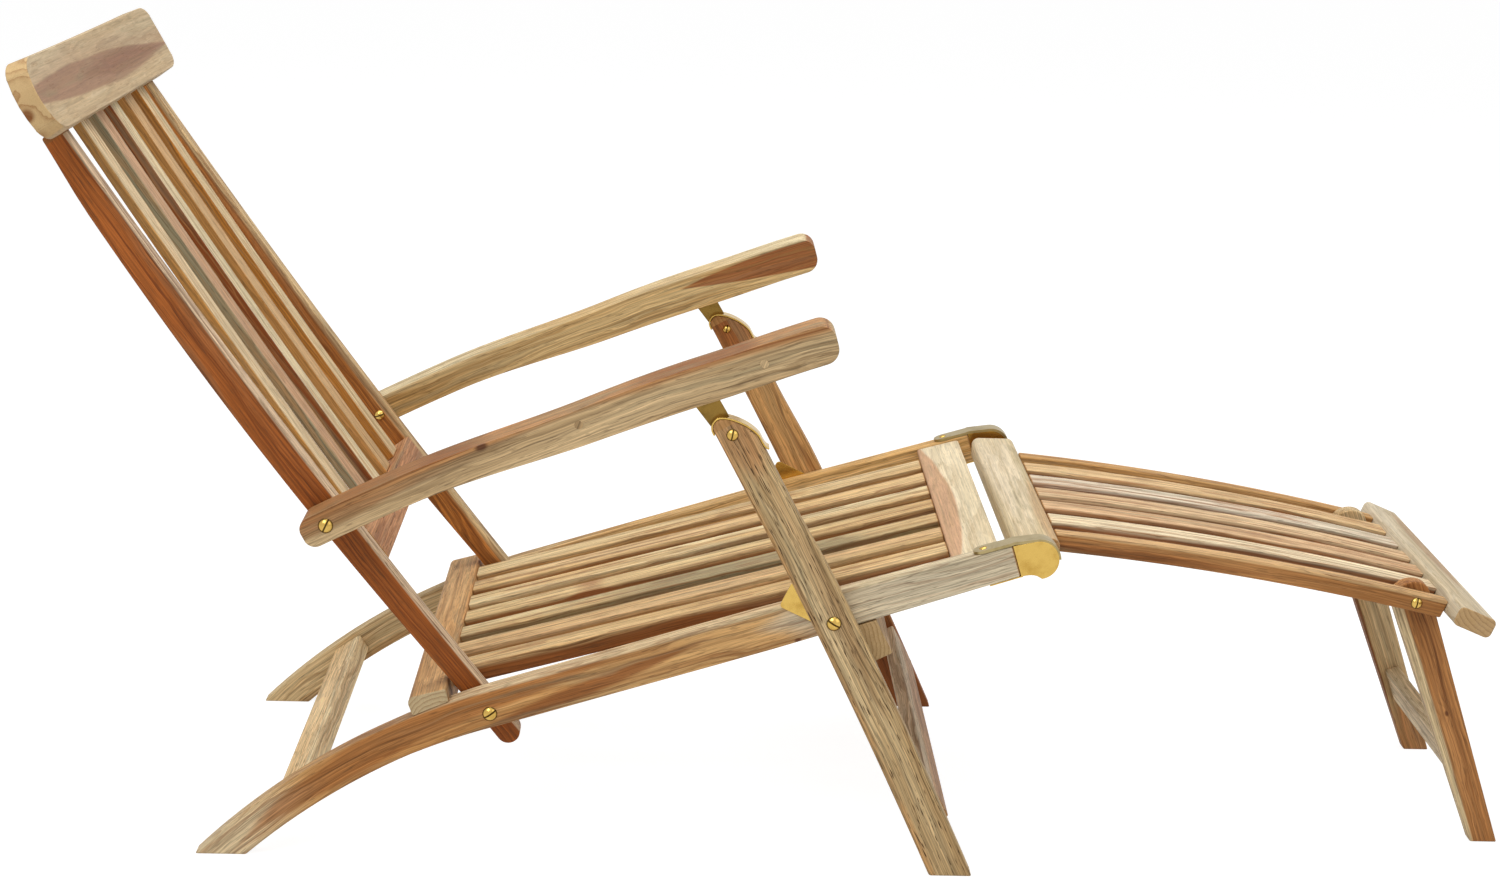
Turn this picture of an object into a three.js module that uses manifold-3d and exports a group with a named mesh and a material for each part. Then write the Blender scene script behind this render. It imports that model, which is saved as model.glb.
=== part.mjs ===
// Steamer deck chair in pale hardwood with brass fittings, shown opened out.
// Units are millimetres, +Z is up, +X points to the footrest, and the sitter's right side is -Y.
// Side views are drawn in a frame whose X is 0 at the rear tip of the seat rails, on the floor.
import * as THREE from 'three';
import Module from 'manifold-3d';
import { mergeVertices } from 'three/addons/utils/BufferGeometryUtils.js';

const wasm = await Module();
wasm.setup();

const degrees = THREE.MathUtils.degToRad;

// Joinery: the gap kept between touching pieces, the slack round a bolt and the overrun of a cut.
const SEAT_GAP = 0.3;
const BORE_SLACK = 0.5;
const RUNNING_GAP = 1;
const CUT_OVERRUN = 2;
const EDGE_EASE = 2;
const FINE_EASE = 1.2;
const ROUND_STEPS = 7;
const RAIL_STEPS = 34;

// Layers across the chair, from the centre plane outwards.
const RAIL_OUTER_Y = 245;
const RAIL_WIDTH = 22;
const POST_WIDTH = 22;
const LEG_WIDTH = 22;
const PIVOT_PLATE_GAUGE = 1.4;
const ARM_WIDTH = 46;
const ARM_OVERHANG = 1.5;
const FOOT_RAIL_OUTER_Y = 171;
const FOOT_RAIL_WIDTH = 20;
const FOOT_LEG_WIDTH = 18.5;

// Seat rails: straight in front, bent down to the floor behind.
const LEG_PIVOT_X = 639;
const LEG_PIVOT_Z = 265.5;
const RAIL_SLOPE = degrees(17.5);
const RAIL_OVER_PIVOT = 3.5;
const RAIL_BEND_BEHIND = 352;
const RAIL_BEND_RADIUS = 718;
const RAIL_FRONT_REACH = 191;
const RAIL_DEPTH_FOOT = 35.5;
const RAIL_DEPTH_MIDDLE = 40.5;
const RAIL_DEPTH_FRONT = 32;
const RAIL_THIN_BEHIND = 452;
const RAIL_TAPER_BEHIND = 70;
const RAIL_LENGTH_BEHIND = 725;

// Seat boards and slats.
const SEAT_SLAT_COUNT = 7;
const SEAT_SLAT_WIDTH = 34;
const SEAT_SLAT_CLEAR = 12.6;
const SEAT_SLAT_DEPTH = 18;
const SEAT_SLAT_ROUND = 3;
const SEAT_TOP_REAR_X = 253;
const SEAT_TOP_REAR_Z = 181;
const SEAT_SLOPE = degrees(15.4);
const SEAT_SLAT_LENGTH = 523;
const FRONT_BOARD_WIDTH = 49;
const FRONT_BOARD_DEPTH = 24;
const FRONT_BOARD_RISE = 3;
const REAR_BOARD_WIDTH = 40;
const REAR_BOARD_DEPTH = 28;
const REAR_BOARD_ROUND = 7;
const REAR_STRETCHER_X = 103;
const REAR_STRETCHER_Z = 67;
const REAR_STRETCHER_WIDTH = 35;
const REAR_STRETCHER_DEPTH = 20;
const REAR_STRETCHER_SLOPE = degrees(34);

// Back: posts hinged on the rails, bowed slightly forward, with a headboard on top.
const BACK_PIVOT_X = 298;
const BACK_PIVOT_Z = 156;
const BACK_ANGLE = degrees(128.4);
const BACK_BOW_RADIUS = 9900;
const BACK_AXIS_OFFSET = -4;
const POST_DEPTH = 24;
const POST_BELLY = 8;
const POST_BELLY_FROM = 40;
const POST_BELLY_TO = 770;
const POST_TAIL = 44;
const POST_LENGTH = 706;
const HEADBOARD_HEIGHT = 77;
const HEADBOARD_DEPTH = 21.5;
const HEADBOARD_HALF_LENGTH = 300;
const HEADBOARD_FORWARD = 16;
const HEADBOARD_LEAN = degrees(2);
const HEADBOARD_CURL_RADIUS = 300;
const HEADBOARD_BOW = 4.5;
const HEADBOARD_BOW_STEPS = 12;
const HEADBOARD_ROUND = 7;
const HEADBOARD_CORNER = 18;
const LOWER_RAIL_FROM = 181;
const LOWER_RAIL_HEIGHT = 36;
const LOWER_RAIL_DEPTH = 22;
const BACK_SLAT_COUNT = 5;
const BACK_SLAT_WIDTH = 37;
const BACK_SLAT_CLEAR = 41.5;
const BACK_SLAT_DEPTH = 9;
const BACK_SLAT_BEHIND_BELOW = 2.3;
const BACK_SLAT_AHEAD_ABOVE = 9.6;

// Armrests: pivoted on the posts, resting on the hooks of the front legs.
const ARM_PIVOT_ALONG = 255.3;
const ARM_ANGLE = degrees(27);
const ARM_BOW_RADIUS = -2900;
const ARM_TAIL = 26;
const ARM_REACH = 532;
const ARM_DEPTH_REAR = 30.5;
const ARM_DEPTH_FRONT = 38.5;
const ARM_TAPER_FROM = 90;
const ARM_TAPER_TO = 400;
const ARM_UNDER_REAR = 16;
const ARM_UNDER_MIDDLE = 25.5;
const ARM_UNDER_TIP = 21.5;
const ARM_SAG_FROM = 90;
const ARM_SAG_TO = 280;
const ARM_RISE_FROM = 400;
const ARM_TIP_ROUND = 15;
const ARM_TAIL_ROUND = 12;
const ARM_EASE = 3;
const GROOVE_WIDTH = 7;
const GROOVE_DEPTH = 16;
const GROOVE_BEHIND = 99;
const GROOVE_AHEAD = 49;
const RACK_WIDTH = 4.5;
const RACK_BACK = 3;
const RACK_TOOTH = 2;
const RACK_PITCH = 30;
const RACK_NOTCHES = 3;
const RACK_LEAD = 8;

// Front legs: bowed, turning on the rails, with a stop board that comes up under the rails.
const LEG_ANGLE = degrees(116.8);
const LEG_BOW_RADIUS = 7000;
const LEG_DEPTH = 39.5;
const LEG_NECK_LOSS = 3.5;
const LEG_NECK_FROM = 30;
const LEG_NECK_TO = 130;
const LEG_TOP_REAR = 236;
const LEG_TOP_FRONT = 208;
const LEG_TOP_ROUND = 9;
const LEG_TAIL = 325;
const LEG_BOLT_ALONG = 217;
const LEG_BOLT_BACK = 5;
const STOP_BOARD_FROM = 17;
const STOP_BOARD_WIDTH = 43;
const STOP_BOARD_DEPTH = 14;
const STOP_BOARD_PROUD = 4.25;
const LEG_STRETCHER_DOWN = 217;
const LEG_STRETCHER_WIDTH = 52;
const LEG_STRETCHER_DEPTH = 15;
const PIVOT_PLATE_LENGTH = 66;
const PIVOT_PLATE_HEIGHT = 28;
const PIVOT_PLATE_SLOPE = degrees(-25);
const PIVOT_PLATE_BEHIND = 53;
const CAP_GAUGE = 1.8;
const CAP_WIDTH = 19;
const CAP_SKIRT = 22;
const CAP_REAR_SKIRT = 3;
const HOOK_GAUGE = 3;
const HOOK_WIDTH = 21;
const HOOK_TIP_WIDTH = 15;
const HOOK_BEHIND = 7;

// Brass ends of the seat rails, which carry the footrest on a pin.
const FOOT_PIVOT_X = 843;
const FOOT_PIVOT_Z = 328;
const EAR_RADIUS = 18.5;
const EAR_GAUGE = 1.5;
const EAR_STRAP_GAUGE = 2;
const EAR_STRAP_BEHIND = 39;
const EAR_SOLE_BEHIND = 32;
const EAR_WIDTH = 17;
const PIN_RADIUS = 4;
const PIN_REACH = 26;

// Footrest: bowed rails and slats from a head board to an end board, on a folding pair of legs.
const FOOT_HEAD_WIDTH = 48;
const FOOT_HEAD_DEPTH = 27;
const FOOT_HEAD_HALF_LENGTH = 212;
const FOOT_HEAD_ROUND = 8;
const FOOT_FRAME_ANGLE = degrees(-4.9);
const FOOT_FRAME_RADIUS = -2950;
const FOOT_FRAME_DROP = 2;
const FOOT_RAIL_LENGTH = 412;
const FOOT_RAIL_DEPTH = 19;
const FOOT_SLAT_COUNT = 5;
const FOOT_SLAT_WIDTH = 34;
const FOOT_SLAT_CLEAR = 6.5;
const FOOT_SLAT_DEPTH = 13;
const END_BOARD_WIDTH = 42;
const END_BOARD_DEPTH = 21;
const END_BOARD_SLOPE = degrees(-22.5);
const END_BOARD_HALF_LENGTH = 207;
const END_BOARD_LIFT = 3;
const END_BOARD_ROUND = 6;
const FOOT_BOLT_FROM_END = 31;
const FOOT_LEG_ANGLE = degrees(-69.7);
const FOOT_LEG_DEPTH = 31;
const FOOT_LEG_FOOT_DEPTH = 26;
const FOOT_LEG_HEAD = 16;
const FOOT_BOLT_REACH = 300;
const FOOT_STRETCHER_DOWN = 200;
const FOOT_STRETCHER_WIDTH = 38;
const FOOT_STRETCHER_DEPTH = 16;

// Bolts and nuts.
const BOLT_RADIUS = 3;
const BOLT_HEAD_RADIUS = 7.5;
const BOLT_HEAD_HEIGHT = 4;
const BOLT_SLOT_WIDTH = 1.8;
const BOLT_SLOT_DEPTH = 1.6;
const NUT_RADIUS = 6;
const NUT_HEIGHT = 4;
const BOLT_SIDES = 16;
const SMALL_BOLT_SHARE = 0.8;

// Places that follow from the sizes above.
const RAIL_INNER_Y = RAIL_OUTER_Y - RAIL_WIDTH;
const POST_OUTER_Y = RAIL_INNER_Y - RUNNING_GAP;
const POST_INNER_Y = POST_OUTER_Y - POST_WIDTH;
const LEG_INNER_Y = RAIL_OUTER_Y + PIVOT_PLATE_GAUGE + 2 * SEAT_GAP;
const LEG_OUTER_Y = LEG_INNER_Y + LEG_WIDTH;
const LEG_MIDDLE_Y = (LEG_INNER_Y + LEG_OUTER_Y) / 2;
const ARM_OUTER_Y = LEG_OUTER_Y + ARM_OVERHANG;
const ARM_INNER_Y = ARM_OUTER_Y - ARM_WIDTH;
const CROSS_HALF_LENGTH = RAIL_INNER_Y - SEAT_GAP;
const LEG_CROSS_HALF_LENGTH = LEG_INNER_Y - SEAT_GAP;
const FOOT_RAIL_INNER_Y = FOOT_RAIL_OUTER_Y - FOOT_RAIL_WIDTH;
const FOOT_LEG_OUTER_Y = FOOT_RAIL_INNER_Y - RUNNING_GAP;
const GROOVE_FLOOR = -ARM_UNDER_MIDDLE + GROOVE_DEPTH;
const FOOT_LEG_INNER_Y = FOOT_LEG_OUTER_Y - FOOT_LEG_WIDTH;
const EAR_INNER_Y = RAIL_OUTER_Y - EAR_WIDTH;

const SIDES = [
  { name: 'right', sign: -1 },
  { name: 'left', sign: 1 },
];

const timber = (name, color, roughness = 0.62) =>
  Object.assign(new THREE.MeshStandardMaterial({ color, roughness, metalness: 0 }), { name });
const MATERIALS = {
  honey: timber('honey_timber', 0xc79a63),
  cream: timber('cream_timber', 0xd8bd8c),
  russet: timber('russet_timber', 0xb07a45),
  brass: Object.assign(
    new THREE.MeshStandardMaterial({ color: 0xd9b24c, roughness: 0.25, metalness: 1 }),
    { name: 'polished_brass' },
  ),
};

// A point of a bowed member: "along" its middle line and "across" it, to its left.
function bowed(originX, originZ, angle, radius) {
  return (along, across = 0) => {
    const turn = Number.isFinite(radius) ? along / radius : 0;
    const forward = turn === 0 ? along : (radius - across) * Math.sin(turn);
    const aside = turn === 0 ? across : radius - (radius - across) * Math.cos(turn);
    return new THREE.Vector2(
      originX + forward * Math.cos(angle) - aside * Math.sin(angle),
      originZ + forward * Math.sin(angle) + aside * Math.cos(angle),
    );
  };
}

const straight = (originX, originZ, angle) => bowed(originX, originZ, angle, Infinity);

// How far along a bowed member a point lies.
function alongBow(point, originX, originZ, angle, radius) {
  const spot = new THREE.Vector2(point.x - originX, point.y - originZ);
  const forward = spot.x * Math.cos(angle) + spot.y * Math.sin(angle);
  const left = spot.y * Math.cos(angle) - spot.x * Math.sin(angle);
  return radius * Math.atan(forward / (radius - left));
}

function steps(from, to, count) {
  return Array.from({ length: count + 1 }, (_, index) => from + ((to - from) * index) / count);
}

// An arc of points about a local centre, from one angle to another.
function arc(frame, along, across, radius, from, to, count = ROUND_STEPS) {
  return steps(from, to, count).map((angle) =>
    frame(along + radius * Math.cos(angle), across + radius * Math.sin(angle)));
}

// The outline of a bar in its own frame: a rectangle with its corners rounded.
function roundedBar(frame, fromAlong, toAlong, halfDepth, radius, count = 2) {
  const quarter = Math.PI / 2;
  const low = fromAlong + radius;
  const high = toAlong - radius;
  const side = halfDepth - radius;
  return [
    ...arc(frame, high, side, radius, quarter, 0, count),
    ...arc(frame, high, -side, radius, 0, -quarter, count),
    ...arc(frame, low, -side, radius, -quarter, -2 * quarter, count),
    ...arc(frame, low, side, radius, 2 * quarter, quarter, count),
  ];
}

function toSolid(geometry) {
  const plain = geometry.clone();
  plain.deleteAttribute('normal');
  plain.deleteAttribute('uv');
  const merged = mergeVertices(plain, 1e-4);
  return new wasm.Manifold(new wasm.Mesh({
    numProp: 3,
    vertProperties: new Float32Array(merged.attributes.position.array),
    triVerts: new Uint32Array(merged.index.array),
  }));
}

function toGeometry(solid) {
  const mesh = solid.getMesh();
  const geometry = new THREE.BufferGeometry();
  const places = Float32Array.from(mesh.vertProperties);
  geometry.setAttribute('position', new THREE.BufferAttribute(places, 3));
  geometry.setIndex(new THREE.BufferAttribute(Uint32Array.from(mesh.triVerts), 1));
  const flat = geometry.toNonIndexed();
  flat.computeVertexNormals();
  return flat;
}

const joined = (...solids) => solids.reduce((whole, piece) => whole.add(piece));
const less = (solid, ...tools) => tools.reduce((whole, tool) => whole.subtract(tool), solid);

// A board whose side outline is given, running across the chair from one Y to another.
function board(outline, fromY, toY, ease = EDGE_EASE) {
  const low = Math.min(fromY, toY);
  const high = Math.max(fromY, toY);
  const shape = new THREE.Shape(outline);
  const geometry = new THREE.ExtrudeGeometry(shape, {
    depth: high - low - 2 * ease,
    steps: 1,
    bevelEnabled: ease > 0,
    bevelThickness: ease,
    bevelSize: ease,
    bevelOffset: -ease,
    bevelSegments: 1,
  });
  geometry.rotateX(Math.PI / 2);
  geometry.translate(0, high - ease, 0);
  return toSolid(geometry);
}

function rod(x, z, fromY, toY, radius, sides = BOLT_SIDES) {
  const geometry = new THREE.CylinderGeometry(radius, radius, Math.abs(toY - fromY), sides);
  geometry.translate(x, (fromY + toY) / 2, z);
  return toSolid(geometry);
}

// A hole along Y for a bolt, cut clean through between two Y places.
function bore(point, fromY, toY, radius = BOLT_RADIUS) {
  const low = Math.min(fromY, toY) - CUT_OVERRUN;
  const high = Math.max(fromY, toY) + CUT_OVERRUN;
  return rod(point.x, point.y, low, high, radius + BORE_SLACK);
}

// A slotted round-head bolt along Y: its head sits on outerY, its nut on innerY.
function bolt(point, outerY, innerY, scale = 1) {
  const out = Math.sign(outerY - innerY);
  const headFrom = outerY + out * SEAT_GAP;
  const nutFrom = innerY - out * SEAT_GAP;
  const headHeight = BOLT_HEAD_HEIGHT * scale;
  const headRadius = BOLT_HEAD_RADIUS * scale;
  const dome = [
    new THREE.Vector2(0, 0),
    new THREE.Vector2(headRadius, 0),
    new THREE.Vector2(headRadius * Math.cos(degrees(25)), headHeight * Math.sin(degrees(50))),
    new THREE.Vector2(headRadius * Math.cos(degrees(60)), headHeight),
    new THREE.Vector2(0, headHeight),
  ];
  const head = new THREE.LatheGeometry(dome, BOLT_SIDES);
  if (out < 0) head.rotateX(Math.PI);
  head.translate(point.x, headFrom, point.y);
  const slot = new THREE.BoxGeometry(3 * headRadius, 2 * BOLT_SLOT_DEPTH, BOLT_SLOT_WIDTH);
  slot.rotateY(degrees(55));
  slot.translate(point.x, headFrom + out * headHeight, point.y);
  const shank = rod(point.x, point.y, headFrom, nutFrom, BOLT_RADIUS);
  const nut = rod(point.x, point.y, nutFrom, nutFrom - out * NUT_HEIGHT, NUT_RADIUS * scale);
  return joined(less(toSolid(head), toSolid(slot)), shank, nut);
}

const pieces = [];
function add(name, solid, material) {
  const mesh = new THREE.Mesh(toGeometry(solid), material);
  mesh.name = name;
  pieces.push(mesh);
}

// Frames of the bowed and straight members.
const legPivot = new THREE.Vector2(LEG_PIVOT_X, LEG_PIVOT_Z);
const backPivot = new THREE.Vector2(BACK_PIVOT_X, BACK_PIVOT_Z);
const overPivot = straight(LEG_PIVOT_X, LEG_PIVOT_Z, RAIL_SLOPE)(0, RAIL_OVER_PIVOT);
const railStraight = straight(overPivot.x, overPivot.y, RAIL_SLOPE);
const railBendStart = railStraight(-RAIL_BEND_BEHIND);
const railBend = bowed(railBendStart.x, railBendStart.y, RAIL_SLOPE, -RAIL_BEND_RADIUS);
const railFrame = (along, across = 0) => (along > -RAIL_BEND_BEHIND
  ? railStraight(along, across)
  : railBend(along + RAIL_BEND_BEHIND, across));
const seatFrame = straight(SEAT_TOP_REAR_X, SEAT_TOP_REAR_Z, SEAT_SLOPE);
const backOrigin = straight(BACK_PIVOT_X, BACK_PIVOT_Z, BACK_ANGLE)(0, -BACK_AXIS_OFFSET);
const backFrame = bowed(backOrigin.x, backOrigin.y, BACK_ANGLE, -BACK_BOW_RADIUS);
const headOrigin = backFrame(POST_LENGTH, -HEADBOARD_FORWARD);
const headAngle = BACK_ANGLE - POST_LENGTH / BACK_BOW_RADIUS + HEADBOARD_LEAN;
const headFrame = bowed(headOrigin.x, headOrigin.y, headAngle, -HEADBOARD_CURL_RADIUS);
const armPivot = backFrame(ARM_PIVOT_ALONG);
const armFrame = bowed(armPivot.x, armPivot.y, ARM_ANGLE, ARM_BOW_RADIUS);
const legFrame = bowed(LEG_PIVOT_X, LEG_PIVOT_Z, LEG_ANGLE, LEG_BOW_RADIUS);
const footFrame = bowed(
  FOOT_PIVOT_X + FOOT_HEAD_WIDTH / 2 + SEAT_GAP,
  FOOT_PIVOT_Z - FOOT_FRAME_DROP,
  FOOT_FRAME_ANGLE,
  FOOT_FRAME_RADIUS,
);

// A value that runs evenly from one size to another as "at" passes between two places.
function blend(at, from, to, sizeFrom, sizeTo) {
  const share = Math.min(1, Math.max(0, (at - from) / (to - from)));
  return sizeFrom + (sizeTo - sizeFrom) * share;
}

// The same with a soft start and end.
function easedBlend(at, from, to, sizeFrom, sizeTo) {
  const share = THREE.MathUtils.smoothstep(at, from, to);
  return sizeFrom + (sizeTo - sizeFrom) * share;
}

// A plain bar about the middle of its own frame.
const middleBar = (frame, width, depth, radius, count = 2) =>
  roundedBar(frame, -width / 2, width / 2, depth / 2, radius, count);

// The outline of a bar whose half depth is told by a function of the place along it.
function taperedBar(frame, fromAlong, toAlong, halfDepthAt, count) {
  const places = steps(fromAlong, toAlong, count);
  const upper = places.map((along) => frame(along, halfDepthAt(along)));
  const lower = places.map((along) => frame(along, -halfDepthAt(along)));
  return [...upper, ...lower.reverse()];
}

// A path moved aside by the same distance everywhere, to the left of its direction.
function aside(path, distance) {
  return path.map((point, index) => {
    const before = path[Math.max(0, index - 1)];
    const after = path[Math.min(path.length - 1, index + 1)];
    const direction = after.clone().sub(before).normalize();
    return new THREE.Vector2(point.x - direction.y * distance, point.y + direction.x * distance);
  });
}

// A thin strip that follows a path, between two distances from it.
const strip = (path, near, far) => [...aside(path, near), ...aside(path, far).reverse()];

const aboveFloor = (solid) => solid.trimByPlane([0, 0, 1], 0);

// Half the depth of a seat rail and of an armrest at a place along them.
function railHalfDepth(along) {
  const behind = blend(
    along, -RAIL_THIN_BEHIND, -RAIL_BEND_BEHIND, RAIL_DEPTH_FOOT, RAIL_DEPTH_MIDDLE,
  );
  return blend(along, -RAIL_TAPER_BEHIND, RAIL_FRONT_REACH, behind, RAIL_DEPTH_FRONT) / 2;
}

function armUnder(along) {
  const sagged = easedBlend(along, ARM_SAG_FROM, ARM_SAG_TO, ARM_UNDER_REAR, ARM_UNDER_MIDDLE);
  return -easedBlend(along, ARM_RISE_FROM, ARM_REACH, sagged, ARM_UNDER_TIP);
}

function armOver(along) {
  const depth = easedBlend(along, ARM_TAPER_FROM, ARM_TAPER_TO, ARM_DEPTH_REAR, ARM_DEPTH_FRONT);
  return armUnder(along) + depth;
}

const rearBoardCentre = seatFrame(-REAR_BOARD_WIDTH / 2, -REAR_BOARD_DEPTH / 2);
const rearBoardFrame = straight(rearBoardCentre.x, rearBoardCentre.y, SEAT_SLOPE);
const frontBoardCentre = seatFrame(
  SEAT_SLAT_LENGTH + SEAT_GAP + FRONT_BOARD_WIDTH / 2,
  FRONT_BOARD_RISE - FRONT_BOARD_DEPTH / 2,
);
const frontBoardFrame = straight(frontBoardCentre.x, frontBoardCentre.y, SEAT_SLOPE);
const stretcherFrame = straight(REAR_STRETCHER_X, REAR_STRETCHER_Z, REAR_STRETCHER_SLOPE);
const footBolt = footFrame(FOOT_RAIL_LENGTH - FOOT_BOLT_FROM_END);
const footLegFrame = straight(footBolt.x, footBolt.y, FOOT_LEG_ANGLE);
const endBoardCentre = footFrame(FOOT_RAIL_LENGTH + SEAT_GAP + END_BOARD_WIDTH / 2, END_BOARD_LIFT);
const endBoardFrame = straight(endBoardCentre.x, endBoardCentre.y, END_BOARD_SLOPE);
const footHeadFrame = straight(FOOT_PIVOT_X, FOOT_PIVOT_Z, 0);
const legBolt = legFrame(LEG_BOLT_ALONG, LEG_BOLT_BACK);

// The tops of the front legs, the brass over them, and the place along the armrests where they hook.
const legHalf = LEG_DEPTH / 2;
const legFront = (along) =>
  easedBlend(along, LEG_NECK_FROM, LEG_NECK_TO, 0, LEG_NECK_LOSS) - legHalf;
const legTopPath = [
  legFrame(LEG_TOP_REAR - LEG_TOP_ROUND - CAP_REAR_SKIRT, legHalf),
  legFrame(LEG_TOP_REAR - LEG_TOP_ROUND, legHalf),
  legFrame(LEG_TOP_REAR - LEG_TOP_ROUND / 4, legHalf - LEG_TOP_ROUND / 3),
  legFrame(LEG_TOP_REAR, legHalf - LEG_TOP_ROUND),
  legFrame(LEG_TOP_REAR - LEG_TOP_ROUND / 2, 0),
  legFrame(LEG_TOP_FRONT + LEG_TOP_ROUND / 2, legFront(LEG_TOP_FRONT) + LEG_TOP_ROUND / 2),
  legFrame(LEG_TOP_FRONT - LEG_TOP_ROUND / 2, legFront(LEG_TOP_FRONT)),
];
const capPath = [...legTopPath, legFrame(LEG_TOP_FRONT - CAP_SKIRT, legFront(LEG_TOP_FRONT))];
const capTop = aside(capPath, SEAT_GAP + CAP_GAUGE / 2);
const legTopAt = alongBow(capTop[3], armPivot.x, armPivot.y, ARM_ANGLE, ARM_BOW_RADIUS);
const hookAt = legTopAt - HOOK_BEHIND;

// Places of evenly spaced slats across the chair, the outer ones clear of what stands beside them.
function slatPlaces(count, width, neighbourY, clearance) {
  const outermost = neighbourY - clearance - width / 2;
  return steps(-outermost, outermost, count - 1);
}

// Seat frame.
for (const { name, sign } of SIDES) {
  const outline = taperedBar(railFrame, -RAIL_LENGTH_BEHIND, RAIL_FRONT_REACH, railHalfDepth, RAIL_STEPS);
  const rail = board(outline, sign * RAIL_INNER_Y, sign * RAIL_OUTER_Y, EDGE_EASE);
  const bores = [backPivot, legPivot].map((point) =>
    bore(point, sign * RAIL_INNER_Y, sign * RAIL_OUTER_Y));
  add(`seat_rail_${name}`, less(aboveFloor(rail), ...bores), MATERIALS.honey);
}

add('rear_stretcher', board(
  middleBar(stretcherFrame, REAR_STRETCHER_WIDTH, REAR_STRETCHER_DEPTH, EDGE_EASE),
  -CROSS_HALF_LENGTH, CROSS_HALF_LENGTH, FINE_EASE,
), MATERIALS.honey);

// The rear board lies over the rails, and is notched to sit down on them.
const rearBoardWhole = board([
  ...arc(rearBoardFrame, REAR_BOARD_WIDTH / 2 - EDGE_EASE, REAR_BOARD_DEPTH / 2 - EDGE_EASE,
    EDGE_EASE, degrees(90), 0, 2),
  rearBoardFrame(REAR_BOARD_WIDTH / 2, -REAR_BOARD_DEPTH / 2),
  rearBoardFrame(-REAR_BOARD_WIDTH / 2 + EDGE_EASE, -REAR_BOARD_DEPTH / 2),
  ...arc(rearBoardFrame, REAR_BOARD_ROUND - REAR_BOARD_WIDTH / 2, REAR_BOARD_DEPTH / 2 - REAR_BOARD_ROUND,
    REAR_BOARD_ROUND, degrees(180), degrees(90), 5),
], -RAIL_OUTER_Y, RAIL_OUTER_Y, FINE_EASE);
const roundRail = (along) => railHalfDepth(along) + SEAT_GAP;
const rearNotches = SIDES.map(({ sign }) => board(
  taperedBar(railFrame, -RAIL_LENGTH_BEHIND, -RAIL_TAPER_BEHIND, roundRail, RAIL_STEPS),
  sign * CROSS_HALF_LENGTH, sign * (RAIL_OUTER_Y + CUT_OVERRUN), 0,
));
add('rear_seat_board', less(rearBoardWhole, ...rearNotches), MATERIALS.cream);

add('front_seat_board', board(
  middleBar(frontBoardFrame, FRONT_BOARD_WIDTH, FRONT_BOARD_DEPTH, SEAT_SLAT_ROUND, 3),
  -CROSS_HALF_LENGTH, CROSS_HALF_LENGTH, FINE_EASE,
), MATERIALS.cream);

slatPlaces(SEAT_SLAT_COUNT, SEAT_SLAT_WIDTH, POST_INNER_Y, SEAT_SLAT_CLEAR).forEach((y, index) => {
  const outline = [
    seatFrame(SEAT_GAP, 0),
    seatFrame(SEAT_SLAT_LENGTH, 0),
    seatFrame(SEAT_SLAT_LENGTH, -SEAT_SLAT_DEPTH),
    seatFrame(SEAT_GAP, -SEAT_SLAT_DEPTH),
  ];
  const tone = index % 2 ? MATERIALS.honey : MATERIALS.cream;
  const half = SEAT_SLAT_WIDTH / 2;
  add(`seat_slat_${index + 1}`, board(outline, y - half, y + half, FINE_EASE), tone);
});

// Brass ends of the seat rails.
for (const { name, sign } of SIDES) {
  const top = RAIL_DEPTH_FRONT / 2 + SEAT_GAP;
  const end = RAIL_FRONT_REACH + SEAT_GAP;
  const overRail = (along, side) => railFrame(along, side * (railHalfDepth(along) + SEAT_GAP));
  const nose = (radius, from, to) => arc(footHeadFrame, 0, 0, radius, from, to, 9);
  const plateOutline = [
    railFrame(end, top),
    ...nose(EAR_RADIUS + EAR_STRAP_GAUGE / 2, degrees(100), degrees(-75)),
    railFrame(end, -top),
  ];
  const strapPath = [
    overRail(RAIL_FRONT_REACH - EAR_STRAP_BEHIND, 1),
    railFrame(RAIL_FRONT_REACH, top),
    ...nose(EAR_RADIUS, degrees(100), degrees(-20)),
  ];
  const solePath = [
    overRail(RAIL_FRONT_REACH - EAR_SOLE_BEHIND, -1),
    railFrame(RAIL_FRONT_REACH + EAR_STRAP_GAUGE, -top),
  ];
  const outer = sign * RAIL_OUTER_Y;
  const inner = sign * EAR_INNER_Y;
  const outerPlate = board(plateOutline, outer - sign * EAR_GAUGE, outer, 0);
  const innerPlate = board(plateOutline, inner, inner + sign * EAR_GAUGE, 0);
  const strap = board(strip(strapPath, 0, EAR_STRAP_GAUGE), inner, outer, 0);
  const sole = board(strip(solePath, 0, -EAR_GAUGE), inner, outer, 0);
  const pinBore = rod(
    FOOT_PIVOT_X, FOOT_PIVOT_Z,
    inner - sign * CUT_OVERRUN, inner + sign * (EAR_GAUGE + CUT_OVERRUN), PIN_RADIUS + BORE_SLACK,
  );
  const fitting = less(joined(outerPlate, innerPlate, strap, sole), pinBore);
  add(`rail_end_fitting_${name}`, fitting, MATERIALS.brass);

  const plateFrame = straight(LEG_PIVOT_X, LEG_PIVOT_Z, PIVOT_PLATE_SLOPE);
  const plateAhead = PIVOT_PLATE_LENGTH - PIVOT_PLATE_BEHIND;
  const plate = board(
    roundedBar(plateFrame, -PIVOT_PLATE_BEHIND, plateAhead, PIVOT_PLATE_HEIGHT / 2, EDGE_EASE),
    sign * (RAIL_OUTER_Y + SEAT_GAP), sign * (RAIL_OUTER_Y + SEAT_GAP + PIVOT_PLATE_GAUGE), 0,
  );
  const plateBore = bore(legPivot, sign * RAIL_OUTER_Y, sign * LEG_INNER_Y);
  add(`pivot_plate_${name}`, less(plate, plateBore), MATERIALS.brass);
}

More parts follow.
